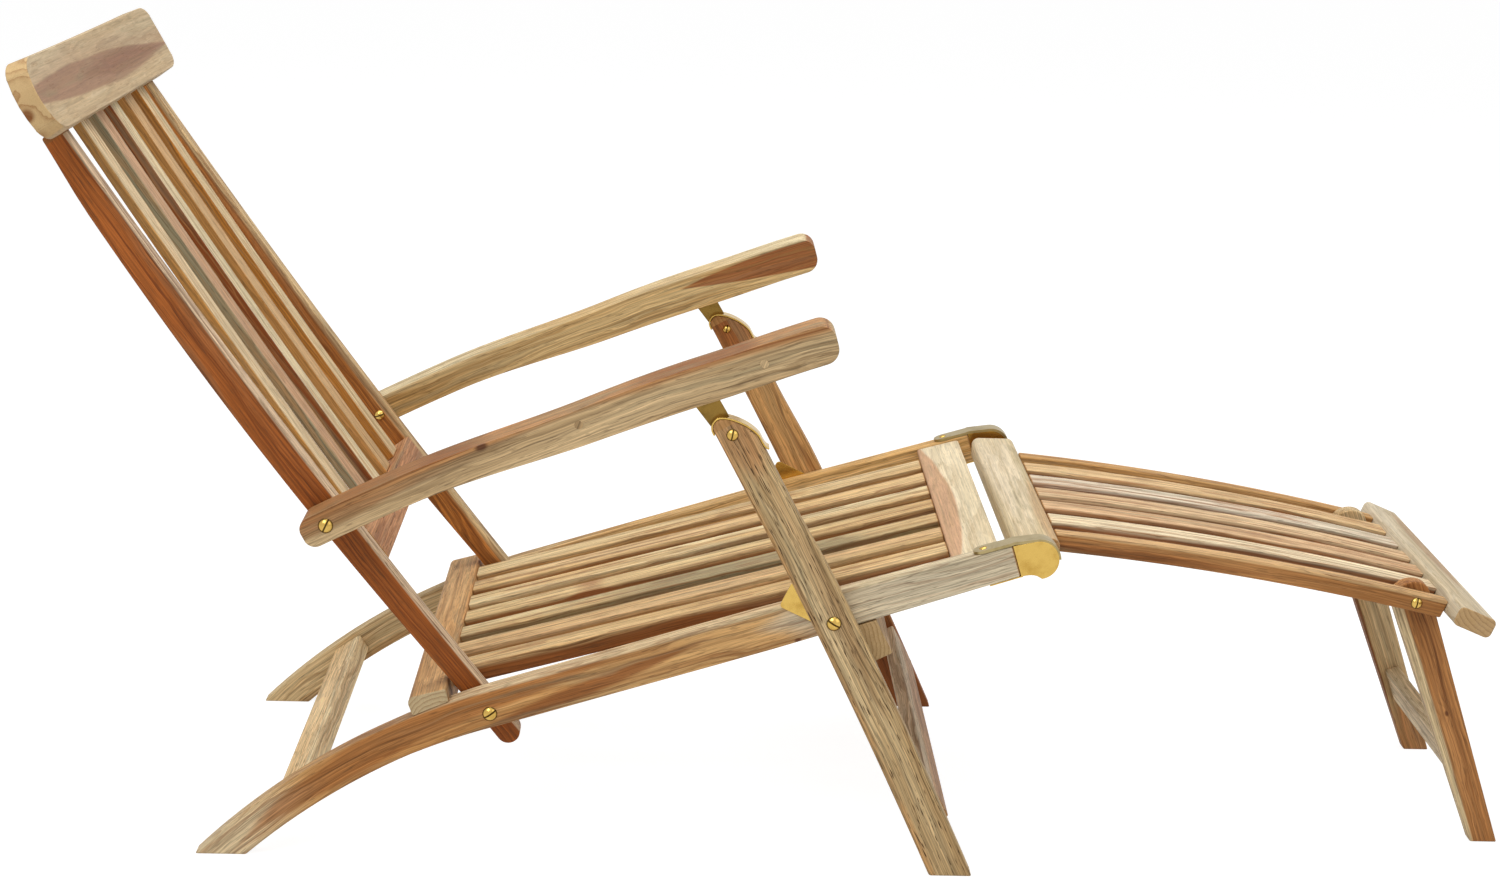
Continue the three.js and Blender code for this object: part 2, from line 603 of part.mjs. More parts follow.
// Back.
const postFront = () => -POST_DEPTH / 2;
function postRear(along) {
  const share = blend(along, POST_BELLY_FROM, POST_BELLY_TO, 0, 1);
  return POST_DEPTH / 2 + POST_BELLY * Math.sin(Math.PI * share);
}
for (const { name, sign } of SIDES) {
  const tailAt = POST_DEPTH / 2 - POST_TAIL;
  const rounded = arc(backFrame, tailAt, 0, POST_DEPTH / 2, degrees(-90), degrees(-270), 8);
  const places = steps(tailAt, POST_LENGTH - SEAT_GAP, 22);
  const outline = [
    ...places.map((along) => backFrame(along, postRear(along))),
    ...places.reverse().map((along) => backFrame(along, postFront(along))),
    ...rounded.slice(1, -1),
  ];
  const post = board(outline, sign * POST_INNER_Y, sign * POST_OUTER_Y, EDGE_EASE);
  const bores = [backPivot, armPivot].map((point) =>
    bore(point, sign * POST_INNER_Y, sign * POST_OUTER_Y));
  add(`back_post_${name}`, less(post, ...bores), MATERIALS.honey);
}

const headOutline = taperedBar(headFrame, 0, HEADBOARD_HEIGHT, (along) => {
  const fromEdge = Math.min(along, HEADBOARD_HEIGHT - along, HEADBOARD_ROUND);
  const kept = Math.sqrt(HEADBOARD_ROUND ** 2 - (HEADBOARD_ROUND - fromEdge) ** 2);
  const lost = HEADBOARD_ROUND - kept;
  return HEADBOARD_DEPTH / 2 - lost;
}, 28);
// The corners of the headboard are rounded as seen from the front, and its ends come forward a little.
const headWidths = steps(-HEADBOARD_HALF_LENGTH, HEADBOARD_HALF_LENGTH, HEADBOARD_BOW_STEPS);
const headSlices = headWidths.slice(1).map((high, index) =>
  board(headOutline, headWidths[index], high, 0));
const headBlock = joined(...headSlices);
const headBack = headFrame(HEADBOARD_HEIGHT / 2, 0);
const headMiddleAngle = headAngle - HEADBOARD_HEIGHT / 2 / HEADBOARD_CURL_RADIUS;
const headFace = new THREE.ExtrudeGeometry(
  new THREE.Shape(roundedBar((along, across) => new THREE.Vector2(along, across),
    -HEADBOARD_HEIGHT / 2 - CUT_OVERRUN, HEADBOARD_HEIGHT / 2 + CUT_OVERRUN,
    HEADBOARD_HALF_LENGTH, HEADBOARD_CORNER, 6)),
  { depth: 2 * HEADBOARD_HEIGHT, bevelEnabled: false },
);
headFace.translate(0, 0, -HEADBOARD_HEIGHT);
headFace.applyMatrix4(new THREE.Matrix4().makeBasis(
  new THREE.Vector3(Math.cos(headMiddleAngle), 0, Math.sin(headMiddleAngle)),
  new THREE.Vector3(0, 1, 0),
  new THREE.Vector3(-Math.sin(headMiddleAngle), 0, Math.cos(headMiddleAngle)),
));
headFace.translate(headBack.x, 0, headBack.y);
const headSolid = headBlock.intersect(toSolid(headFace)).warp((vertex) => {
  const share = vertex[1] / HEADBOARD_HALF_LENGTH;
  vertex[0] += HEADBOARD_BOW * share * share * Math.sin(headAngle);
  vertex[2] -= HEADBOARD_BOW * share * share * Math.cos(headAngle);
});
add('headboard', headSolid, MATERIALS.cream);

const backAcross = POST_INNER_Y - SEAT_GAP;
const lowerRailCentre = -POST_DEPTH / 2 + LOWER_RAIL_DEPTH / 2;
const lowerRailFrame = (along, across = 0) =>
  backFrame(LOWER_RAIL_FROM + along, lowerRailCentre + across);
add('lower_back_rail', board(
  roundedBar(lowerRailFrame, 0, LOWER_RAIL_HEIGHT, LOWER_RAIL_DEPTH / 2, EDGE_EASE),
  -backAcross, backAcross, FINE_EASE,
), MATERIALS.honey);

slatPlaces(BACK_SLAT_COUNT, BACK_SLAT_WIDTH, POST_INNER_Y, BACK_SLAT_CLEAR).forEach((y, index) => {
  const from = LOWER_RAIL_FROM + LOWER_RAIL_HEIGHT + SEAT_GAP;
  const lean = (along) =>
    blend(along, from, POST_LENGTH, BACK_SLAT_BEHIND_BELOW, -BACK_SLAT_AHEAD_ABOVE);
  const slatFrame = (along, across) => backFrame(along, across + lean(along));
  const outline = taperedBar(slatFrame, from, POST_LENGTH - SEAT_GAP, () => BACK_SLAT_DEPTH / 2, 12);
  const tone = index % 2 ? MATERIALS.russet : MATERIALS.cream;
  const half = BACK_SLAT_WIDTH / 2;
  add(`back_slat_${index + 1}`, board(outline, y - half, y + half, FINE_EASE), tone);
});

// A plain slice of an outline, centred over the middle of one front leg.
const overLeg = (sign, outline, width) =>
  board(outline, sign * (LEG_MIDDLE_Y - width / 2), sign * (LEG_MIDDLE_Y + width / 2), 0);

// Armrests, their racks and the bolts of the back.
for (const { name, sign } of SIDES) {
  const backBolt = bolt(backPivot, sign * RAIL_OUTER_Y, sign * POST_INNER_Y);
  const armBolt = bolt(armPivot, sign * ARM_OUTER_Y, sign * POST_INNER_Y);
  add(`back_pivot_bolt_${name}`, backBolt, MATERIALS.brass);
  add(`arm_pivot_bolt_${name}`, armBolt, MATERIALS.brass);

  const tailAt = ARM_TAIL_ROUND - ARM_TAIL;
  const tipAt = ARM_REACH - ARM_TIP_ROUND;
  const places = steps(0, ARM_REACH - 2 * ARM_TIP_ROUND, 22);
  const tailOver = armOver(0) - ARM_TAIL_ROUND;
  const tailUnder = armUnder(0) + ARM_TAIL_ROUND;
  const tipOver = armOver(ARM_REACH) - ARM_TIP_ROUND;
  const tipUnder = armUnder(ARM_REACH) + ARM_TIP_ROUND;
  const outline = [
    ...arc(armFrame, tailAt, tailOver, ARM_TAIL_ROUND, degrees(180), degrees(90), 4),
    ...places.map((along) => armFrame(along, armOver(along))),
    ...arc(armFrame, tipAt, tipOver, ARM_TIP_ROUND, degrees(90), 0, 5),
    ...arc(armFrame, tipAt, tipUnder, ARM_TIP_ROUND, 0, degrees(-90), 5),
    ...places.reverse().map((along) => armFrame(along, armUnder(along))),
    ...arc(armFrame, tailAt, tailUnder, ARM_TAIL_ROUND, degrees(270), degrees(180), 4).slice(0, -1),
  ];
  const arm = board(outline, sign * ARM_INNER_Y, sign * ARM_OUTER_Y, ARM_EASE);
  const groovePlaces = steps(hookAt - GROOVE_BEHIND, hookAt + GROOVE_AHEAD, 6);
  const grooveOutline = [
    ...groovePlaces.map((along) => armFrame(along, GROOVE_FLOOR)),
    ...groovePlaces.toReversed().map((along) => armFrame(along, -ARM_DEPTH_FRONT)),
  ];
  const groove = overLeg(sign, grooveOutline, GROOVE_WIDTH);
  const armBore = bore(armPivot, sign * ARM_INNER_Y, sign * ARM_OUTER_Y);
  add(`armrest_${name}`, less(arm, groove, armBore), MATERIALS.honey);

  const rackTop = GROOVE_FLOOR - SEAT_GAP;
  const rackLow = rackTop - RACK_BACK;
  const rackFront = hookAt + RACK_PITCH / 2 + RACK_LEAD;
  const rackRear = rackFront - RACK_NOTCHES * RACK_PITCH - 2 * RACK_LEAD;
  const teeth = Array.from({ length: RACK_NOTCHES }, (_, notch) => {
    const front = hookAt + HOOK_TIP_WIDTH / 2 + RUNNING_GAP - notch * RACK_PITCH;
    return [
      armFrame(front + RACK_LEAD, rackLow),
      armFrame(front, rackLow - RACK_TOOTH),
      armFrame(front, rackLow),
    ];
  }).flat();
  const rackOutline = [
    ...steps(rackRear, rackFront, 4).map((along) => armFrame(along, rackTop)),
    ...teeth,
    armFrame(rackRear, rackLow),
  ];
  add(`arm_rack_${name}`, overLeg(sign, rackOutline, RACK_WIDTH), MATERIALS.brass);
}

// Front legs.
for (const { name, sign } of SIDES) {
  const frontEdge = steps(LEG_TOP_FRONT - CAP_SKIRT, -LEG_TAIL, 16).map((along) =>
    legFrame(along, legFront(along)));
  const rearEdge = steps(-LEG_TAIL, LEG_TOP_REAR - 2 * CAP_SKIRT, 10).map((along) =>
    legFrame(along, legHalf));
  const outline = [...legTopPath, ...frontEdge, ...rearEdge];
  const leg = board(outline, sign * LEG_INNER_Y, sign * LEG_OUTER_Y, EDGE_EASE);
  const bores = [legPivot, legBolt].map((point) =>
    bore(point, sign * LEG_INNER_Y, sign * LEG_OUTER_Y));
  add(`front_leg_${name}`, less(aboveFloor(leg), ...bores), MATERIALS.honey);

  const cap = overLeg(sign, strip(capPath, SEAT_GAP, SEAT_GAP + CAP_GAUGE), CAP_WIDTH);
  const tipLow = GROOVE_FLOOR - SEAT_GAP - RACK_BACK - RACK_TOOTH - RUNNING_GAP;
  const hookOutline = [
    armFrame(hookAt - HOOK_TIP_WIDTH / 2, tipLow),
    armFrame(hookAt + HOOK_TIP_WIDTH / 2, tipLow),
    armFrame(hookAt + HOOK_WIDTH / 2, -ARM_UNDER_MIDDLE - EDGE_EASE),
    capTop[4],
    capTop[3],
    capTop[2],
  ];
  const hook = overLeg(sign, hookOutline, HOOK_GAUGE);
  const topBolt = bolt(legBolt, sign * LEG_OUTER_Y, sign * LEG_INNER_Y, SMALL_BOLT_SHARE);
  const pivotBolt = bolt(legPivot, sign * LEG_OUTER_Y, sign * RAIL_INNER_Y);
  add(`hook_plate_${name}`, joined(cap, hook), MATERIALS.brass);
  add(`leg_top_bolt_${name}`, topBolt, MATERIALS.brass);
  add(`leg_pivot_bolt_${name}`, pivotBolt, MATERIALS.brass);
}

const stopFrame = (along, across) =>
  legFrame(-STOP_BOARD_FROM - along, across - legHalf - STOP_BOARD_PROUD);
const stopOutline = roundedBar(stopFrame, 0, STOP_BOARD_WIDTH, STOP_BOARD_DEPTH, EDGE_EASE).reverse();
const stopFull = board(stopOutline, -LEG_CROSS_HALF_LENGTH, LEG_CROSS_HALF_LENGTH, FINE_EASE);
const overStop = taperedBar(railFrame, -RAIL_TAPER_BEHIND, RAIL_FRONT_REACH, roundRail, ROUND_STEPS + 1);
const underRails = board(overStop, -LEG_OUTER_Y, LEG_OUTER_Y, 0);
add('stop_board', less(stopFull, underRails), MATERIALS.honey);

const legStretcherFrame = (along, across) =>
  legFrame(along - LEG_STRETCHER_DOWN, across - legHalf + LEG_STRETCHER_DEPTH / 2);
add('leg_stretcher', board(
  middleBar(legStretcherFrame, LEG_STRETCHER_WIDTH, LEG_STRETCHER_DEPTH, EDGE_EASE),
  -LEG_CROSS_HALF_LENGTH, LEG_CROSS_HALF_LENGTH, FINE_EASE,
), MATERIALS.honey);

// Footrest.
const footHead = board(
  middleBar(footHeadFrame, FOOT_HEAD_WIDTH, FOOT_HEAD_DEPTH, FOOT_HEAD_ROUND, 5),
  -FOOT_HEAD_HALF_LENGTH, FOOT_HEAD_HALF_LENGTH, FINE_EASE,
);
const pinBores = SIDES.map(({ sign }) => rod(
  FOOT_PIVOT_X, FOOT_PIVOT_Z,
  sign * (FOOT_HEAD_HALF_LENGTH + CUT_OVERRUN), sign * (FOOT_HEAD_HALF_LENGTH - PIN_REACH - CUT_OVERRUN),
  PIN_RADIUS + BORE_SLACK,
));
add('footrest_head_board', less(footHead, ...pinBores), MATERIALS.cream);
add('footrest_end_board', board(
  middleBar(endBoardFrame, END_BOARD_WIDTH, END_BOARD_DEPTH, END_BOARD_ROUND, 3),
  -END_BOARD_HALF_LENGTH, END_BOARD_HALF_LENGTH, FINE_EASE,
), MATERIALS.cream);

const endBoardFace = -END_BOARD_WIDTH / 2 - SEAT_GAP;
const pastEndBoard = board([
  endBoardFrame(endBoardFace, -END_BOARD_WIDTH),
  endBoardFrame(-endBoardFace, -END_BOARD_WIDTH),
  endBoardFrame(-endBoardFace, END_BOARD_WIDTH),
  endBoardFrame(endBoardFace, END_BOARD_WIDTH),
], -END_BOARD_HALF_LENGTH, END_BOARD_HALF_LENGTH, 0);
const footMember = (fromY, toY, upper, depth) => {
  const frame = (along, across) => footFrame(along, across + upper);
  const bar = taperedBar(frame, 0, FOOT_RAIL_LENGTH + END_BOARD_LIFT, () => depth / 2, 9);
  return less(board(bar, fromY, toY, FINE_EASE), pastEndBoard);
};
slatPlaces(FOOT_SLAT_COUNT, FOOT_SLAT_WIDTH, FOOT_LEG_INNER_Y, FOOT_SLAT_CLEAR).forEach((y, index) => {
  const slat = footMember(y - FOOT_SLAT_WIDTH / 2, y + FOOT_SLAT_WIDTH / 2,
    (FOOT_RAIL_DEPTH - FOOT_SLAT_DEPTH) / 2, FOOT_SLAT_DEPTH);
  add(`footrest_slat_${index + 1}`, slat, index % 2 ? MATERIALS.honey : MATERIALS.cream);
});

for (const { name, sign } of SIDES) {
  const rail = footMember(sign * FOOT_RAIL_INNER_Y, sign * FOOT_RAIL_OUTER_Y, 0, FOOT_RAIL_DEPTH);
  const boltBore = bore(footBolt, sign * FOOT_RAIL_INNER_Y, sign * FOOT_RAIL_OUTER_Y);
  add(`footrest_rail_${name}`, less(rail, boltBore), MATERIALS.russet);
  add(`footrest_pivot_pin_${name}`, rod(
    FOOT_PIVOT_X, FOOT_PIVOT_Z,
    sign * (FOOT_HEAD_HALF_LENGTH - PIN_REACH), sign * (EAR_INNER_Y + 2 * EAR_GAUGE), PIN_RADIUS,
  ), MATERIALS.brass);

  const crown = arc(footLegFrame, 0, 0, FOOT_LEG_HEAD, degrees(270), degrees(90), 8);
  const legOutline = [
    ...crown,
    footLegFrame(FOOT_LEG_HEAD, FOOT_LEG_DEPTH / 2),
    footLegFrame(FOOT_BOLT_REACH, FOOT_LEG_FOOT_DEPTH / 2),
    footLegFrame(FOOT_BOLT_REACH, -FOOT_LEG_FOOT_DEPTH / 2),
    footLegFrame(FOOT_LEG_HEAD, -FOOT_LEG_DEPTH / 2),
  ];
  const leg = board(legOutline, sign * FOOT_LEG_INNER_Y, sign * FOOT_LEG_OUTER_Y, EDGE_EASE);
  add(`footrest_leg_${name}`, less(
    aboveFloor(leg), bore(footBolt, sign * FOOT_LEG_INNER_Y, sign * FOOT_LEG_OUTER_Y),
  ), MATERIALS.russet);
  const legBolts = bolt(footBolt, sign * FOOT_RAIL_OUTER_Y, sign * FOOT_LEG_INNER_Y, SMALL_BOLT_SHARE);
  add(`footrest_leg_bolt_${name}`, legBolts, MATERIALS.brass);
}

const footStretcherFrame = (along, across) => footLegFrame(along + FOOT_STRETCHER_DOWN, across);
const footLegAcross = FOOT_LEG_INNER_Y - SEAT_GAP;
add('footrest_leg_stretcher', board(
  middleBar(footStretcherFrame, FOOT_STRETCHER_WIDTH, FOOT_STRETCHER_DEPTH, EDGE_EASE),
  -footLegAcross, footLegAcross, FINE_EASE,
), MATERIALS.honey);

// The whole stands with its middle over the origin.
const chair = new THREE.Group().add(...pieces);
const extent = new THREE.Box3().setFromObject(chair);
const middle = extent.getCenter(new THREE.Vector3());
for (const piece of pieces) piece.geometry.translate(-middle.x, 0, 0);

export default chair;
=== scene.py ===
"""Steamer deck chair: its timber and brass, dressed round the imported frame.

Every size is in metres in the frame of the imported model: +X points to the footrest, +Z is up and
the sitter's right side is -Y. Side outlines are drawn in a frame whose X is 0 at the rear tip of
the seat rails, and SIDE_ORIGIN moves them into the model's frame.
"""

from __future__ import annotations

import logging
import math
from collections.abc import Callable, Iterator
from contextlib import contextmanager
from dataclasses import dataclass, field, replace
from enum import Enum
from typing import ClassVar

import bpy
from mathutils import Matrix, Vector


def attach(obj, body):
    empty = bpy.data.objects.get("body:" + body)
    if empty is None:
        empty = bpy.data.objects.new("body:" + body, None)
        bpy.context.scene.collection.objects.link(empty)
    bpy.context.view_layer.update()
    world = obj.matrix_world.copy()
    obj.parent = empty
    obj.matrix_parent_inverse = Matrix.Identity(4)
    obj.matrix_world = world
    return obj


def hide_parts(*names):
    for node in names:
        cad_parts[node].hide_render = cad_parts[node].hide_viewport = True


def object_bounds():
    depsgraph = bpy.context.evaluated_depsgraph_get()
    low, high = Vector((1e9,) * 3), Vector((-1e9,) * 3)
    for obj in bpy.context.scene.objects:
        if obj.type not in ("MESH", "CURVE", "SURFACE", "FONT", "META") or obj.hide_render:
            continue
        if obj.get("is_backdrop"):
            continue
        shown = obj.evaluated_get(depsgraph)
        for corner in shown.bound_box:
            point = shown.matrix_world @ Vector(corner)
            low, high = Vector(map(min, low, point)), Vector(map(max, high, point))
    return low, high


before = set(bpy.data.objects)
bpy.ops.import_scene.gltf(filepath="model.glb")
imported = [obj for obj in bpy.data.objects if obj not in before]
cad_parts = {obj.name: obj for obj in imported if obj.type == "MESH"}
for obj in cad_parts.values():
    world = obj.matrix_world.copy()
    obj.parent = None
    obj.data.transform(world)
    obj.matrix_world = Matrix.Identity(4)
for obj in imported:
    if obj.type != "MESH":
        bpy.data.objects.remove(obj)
CAD_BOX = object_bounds()

log = logging.getLogger("deck_chair")

Point = tuple[float, float]
Triple = tuple[float, float, float]
Outline = list[Point]
Colour = tuple[float, float, float, float]
Profile = Callable[[float], float]
Piece = bpy.types.Object
Trim = Callable[[Piece], None]

SIDE_ORIGIN = 0.600993
SEAT_GAP = 0.0003
RUNNING_GAP = 0.001
ARRIS_LIMIT = math.radians(35)
SMOOTH_LIMIT = math.radians(40)
MERGE_LIMIT = 1e-6
ENDLESS = 9.0  # A place past both ends of any piece: its end grain shows nowhere.
WHITE: Colour = (1.0, 1.0, 1.0, 1.0)


class Side(Enum):
    """The sitter's right and left, with the sign of Y there."""

    RIGHT = ("right", -1.0)
    LEFT = ("left", 1.0)

    @property
    def word(self) -> str:
        """The side's name in node and piece names."""
        return self.value[0]

    @property
    def sign(self) -> float:
        """The sign of Y on this side."""
        return self.value[1]


class Lie(Enum):
    """How the grain of a timber piece lies: along its run, or across the chair."""

    ALONG = "along"
    ACROSS = "across"


class Face(Enum):
    """The measure that a patch is placed by, besides its place along the grain."""

    DEPTH = "depth"
    WIDTH = "width"


# Runs: the lines that the members follow, seen from the side.


def steps(start: float, stop: float, count: int) -> list[float]:
    """Evenly spaced values.

    Args:
        start: The first value.
        stop: The last value.
        count: The number of equal steps between them.

    Returns:
        The count + 1 values from start to stop.
    """
    return [start + (stop - start) * index / count for index in range(count + 1)]


def blend(at: float, low: float, high: float, first: float, last: float, soft: bool = False) -> float:
    """A size that passes from one value to another between two places.

    Args:
        at: The place.
        low: The place where the change starts.
        high: The place where it ends.
        first: The size before the change.
        last: The size after it.
        soft: Whether the change eases in and out.

    Returns:
        The size at that place.
    """
    share = min(1.0, max(0.0, (at - low) / (high - low)))
    if soft:
        share = share * share * (3 - 2 * share)
    return first + (last - first) * share


@dataclass(frozen=True)
class Bow:
    """A straight or evenly bowed line in the side view."""

    x: float
    z: float
    degrees: float
    radius: float = math.inf

    def point(self, along: float, across: float = 0.0) -> Point:
        """The point at a place along the line and across it, in the model's frame.

        Args:
            along: The length followed along the line.
            across: The distance to its left.

        Returns:
            The point's X and Z.
        """
        angle = math.radians(self.degrees)
        if math.isinf(self.radius):
            ahead, left = along, across
        else:
            turn = along / self.radius
            ahead = (self.radius - across) * math.sin(turn)
            left = self.radius - (self.radius - across) * math.cos(turn)
        return (
            self.x + ahead * math.cos(angle) - left * math.sin(angle) - SIDE_ORIGIN,
            self.z + ahead * math.sin(angle) + left * math.cos(angle),
        )

    def shifted(
        self, along: float, across: float, degrees: float | None = None, radius: float = math.inf,
    ) -> Bow:
        """A new line that starts at a point of this one.

        Args:
            along: The place along this line.
            across: The distance to its left.
            degrees: The new line's direction, or None for this line's own.
            radius: The new line's radius.

        Returns:
            The new line.
        """
        x, z = self.point(along, across)
        return Bow(x + SIDE_ORIGIN, z, self.degrees if degrees is None else degrees, radius)

    def grain(self, place: Place) -> tuple[Value, Value]:
        """The places along and across this line, as shader values.

        Args:
            place: The object coordinates of the shader.

        Returns:
            The length along the line and the distance to its left.
        """
        angle = math.radians(self.degrees)
        x = place.x - (self.x - SIDE_ORIGIN)
        z = place.z - self.z
        ahead = x * math.cos(angle) + z * math.sin(angle)
        left = z * math.cos(angle) - x * math.sin(angle)
        if math.isinf(self.radius):
            return ahead, left
        toward = self.radius - left
        along = (ahead / toward).arctan() * self.radius
        reach = (ahead * ahead + toward * toward).root() * math.copysign(1.0, self.radius)
        return along, self.radius - reach


@dataclass(frozen=True)
class BentRun:
    """A run that is straight in front and bows down behind a place along it."""

    front: Bow
    rear: Bow
    bend_at: float

    def point(self, along: float, across: float = 0.0) -> Point:
        """The point at a place along the run and across it, in the model's frame.

        Args:
            along: The length followed along the run.
            across: The distance to its left.

        Returns:
            The point's X and Z.
        """
        if along > self.bend_at:
            return self.front.point(along, across)
        return self.rear.point(along - self.bend_at, across)

    def grain(self, place: Place) -> tuple[Value, Value]:
        """The places along and across this run, as shader values.

        Args:
            place: The object coordinates of the shader.

        Returns:
            The length along the run and the distance to its left.
        """
        along, across = self.front.grain(place)
        rear_along, rear_across = self.rear.grain(place)
        ahead = along.above(self.bend_at)
        return (
            along * ahead + (rear_along + self.bend_at) * (1.0 - ahead),
            across * ahead + rear_across * (1.0 - ahead),
        )


Run = Bow | BentRun


def arc(
    run: Run, along: float, across: float, radius: float, start: float, stop: float, count: int = 8,
) -> Outline:
    """Points of an arc about a place of a run.

    Args:
        run: The run whose frame the arc is drawn in.
        along: The centre's place along it.
        across: The centre's place across it.
        radius: The arc's radius.
        start: Its first angle, in degrees from the run's direction.
        stop: Its last angle.
        count: The number of steps.

    Returns:
        The arc's points.
    """
    return [
        run.point(along + radius * math.cos(math.radians(a)), across + radius * math.sin(math.radians(a)))
        for a in steps(start, stop, count)
    ]


def rounded_bar(run: Run, start: float, stop: float, half: float, radius: float, count: int = 6) -> Outline:
    """The outline of a bar with its four corners rounded.

    Args:
        run: The run that it follows.
        start: Its first place along the run.
        stop: Its last place.
        half: Half its depth.
        radius: The corners' radius.
        count: The steps of each corner.

    Returns:
        The outline's points.
    """
    low, high, side = start + radius, stop - radius, half - radius
    return [
        *arc(run, high, side, radius, 90, 0, count),
        *arc(run, high, -side, radius, 0, -90, count),
        *arc(run, low, -side, radius, -90, -180, count),
        *arc(run, low, side, radius, 180, 90, count),
    ]


def circle(run: Run, radius: float, count: int) -> Outline:
    """Evenly spaced points round the start of a run."""
    return arc(run, 0.0, 0.0, radius, 0, 360 - 360 / count, count - 1)


def band(run: Run, start: float, stop: float, count: int, upper: Profile, lower: Profile) -> Outline:
    """The outline of a bar between two lines beside its run.

    Args:
        run: The run that it follows.
        start: Its first place along the run.
        stop: Its last place.
        count: The steps along it.
        upper: The place of its upper line across the run.
        lower: The place of its lower line.

    Returns:
        The outline's points.
    """
    places = steps(start, stop, count)
    return [
        *(run.point(at, upper(at)) for at in places),
        *(run.point(at, lower(at)) for at in reversed(places)),
    ]


def tapered_bar(run: Run, start: float, stop: float, half: Profile, count: int) -> Outline:
    """The outline of a bar whose half depth changes along it."""
    return band(run, start, stop, count, half, lambda at: -half(at))


@dataclass(frozen=True)
class Section:
    """A board's section: half its width, half its depth and its corners' radius."""

    half_width: float
    half_depth: float
    corner: float = 0.002
    count: int = 6

    def outline(self, run: Run) -> Outline:
        """The section's outline about the start of a run."""
        return rounded_bar(run, -self.half_width, self.half_width, self.half_depth, self.corner, self.count)


def beside(path: Outline, distance: float) -> Outline:
    """A path moved to its left by the same distance everywhere.

    Args:
        path: The points of the path.
        distance: How far it moves.

    Returns:
        The moved points.
    """
    moved = []
    for index, (x, z) in enumerate(path):
        before = path[max(0, index - 1)]
        after = path[min(len(path) - 1, index + 1)]
        dx, dz = after[0] - before[0], after[1] - before[1]
        length = math.hypot(dx, dz)
        moved.append((x - dz / length * distance, z + dx / length * distance))
    return moved


def strip(path: Outline, near: float, far: float) -> Outline:
    """The outline of a thin strip that follows a path between two distances from it."""
    return beside(path, near) + list(reversed(beside(path, far)))


# The bench: the operators that shape a piece.


def start_clean() -> None:
    """Leaves nothing selected, so that an operator acts only on the piece in hand."""
    bpy.ops.object.select_all(action="DESELECT")


def take(piece: Piece) -> None:
    """Makes one object the only one selected, and the active one.

    Args:
        piece: The object.
    """
    start_clean()
    piece.select_set(True)
    bpy.context.view_layer.objects.active = piece


def place_in_mesh(piece: Piece) -> None:
    """Puts the object's place, turn and scale into its mesh."""
    take(piece)
    bpy.ops.object.transform_apply(location=True, rotation=True, scale=True)


@contextmanager
def editing(piece: Piece) -> Iterator[None]:
    """Opens a piece in edit mode, all of it selected, and closes it again."""
    take(piece)
    bpy.ops.object.mode_set(mode="EDIT")
    bpy.ops.mesh.select_all(action="SELECT")
    yield
    bpy.ops.object.mode_set(mode="OBJECT")


def outward(piece: Piece) -> None:
    """Merges doubled points and turns every face outwards."""
    with editing(piece):
        bpy.ops.mesh.remove_doubles(threshold=MERGE_LIMIT)
        bpy.ops.mesh.normals_make_consistent(inside=False)


def smooth(piece: Piece) -> None:
    """Shades a piece smooth, with its sharper edges kept."""
    take(piece)
    bpy.ops.object.shade_smooth_by_angle(angle=SMOOTH_LIMIT)


def sawn(name: str, outline: Outline, inner: float, outer: float) -> Piece:
    """A piece sawn to an outline seen from the side, and as thick as the gap between two Y places.

    Args:
        name: The piece's name.
        outline: The points of the outline, X and Z.
        inner: The first Y place.
        outer: The second Y place.

    Returns:
        The new object.
    """
    low, high = min(inner, outer), max(inner, outer)
    start_clean()
    bpy.ops.mesh.primitive_circle_add(vertices=len(outline), radius=1.0, fill_type="NGON")
    piece = bpy.context.active_object
    piece.name = name
    for vertex, (x, z) in zip(piece.data.vertices, outline, strict=True):
        vertex.co = (x, low, z)
    with editing(piece):
        bpy.ops.mesh.extrude_region_move(TRANSFORM_OT_translate={"value": (0, high - low, 0)})
    outward(piece)
    return piece


def cut_at_floor(piece: Piece) -> None:
    """Saws a leg or rail off level with the floor."""
    with editing(piece):
        bpy.ops.mesh.bisect(plane_co=(0, 0, 0), plane_no=(0, 0, 1), use_fill=True, clear_inner=True)
    outward(piece)


def combine(piece: Piece, other: Piece, operation: str) -> None:
    """Joins or cuts a piece with another, which is then removed.

    Args:
        piece: The piece that stays.
        other: The other piece.
        operation: The way they combine: UNION or DIFFERENCE.
    """
    take(piece)
    step = piece.modifiers.new("combine", "BOOLEAN")
    step.operation = operation
    step.solver = "EXACT"
    step.object = other
    bpy.ops.object.modifier_apply(modifier=step.name)
    bpy.data.objects.remove(other)


def carve(piece: Piece, *tools: Piece) -> None:
    """Cuts the tools' shapes out of a piece."""
    for tool in tools:
        combine(piece, tool, "DIFFERENCE")


def joined(name: str, *pieces: Piece) -> Piece:
    """Fuses overlapping pieces into one.

    Args:
        name: The name of the whole.
        pieces: The pieces, the first of which takes in the others.

    Returns:
        The whole.
    """
    whole = pieces[0]
    for other in pieces[1:]:
        combine(whole, other, "UNION")
    whole.name = name
    return whole


def ease(piece: Piece, width: float, segments: int = 3) -> None:
    """Rounds a piece's sharp arrises and shades it smooth between its flats.

    Args:
        piece: The piece.
        width: The width of the rounding.
        segments: The number of faces across it.
    """
    take(piece)
    bpy.ops.object.shade_smooth()
    bevel = piece.modifiers.new("arris", "BEVEL")
    bevel.width = width
    bevel.segments = segments
    bevel.limit_method = "ANGLE"
    bevel.angle_limit = ARRIS_LIMIT
    bevel.miter_outer = "MITER_ARC"
    bevel.harden_normals = True
    bpy.ops.object.modifier_apply(modifier=bevel.name)


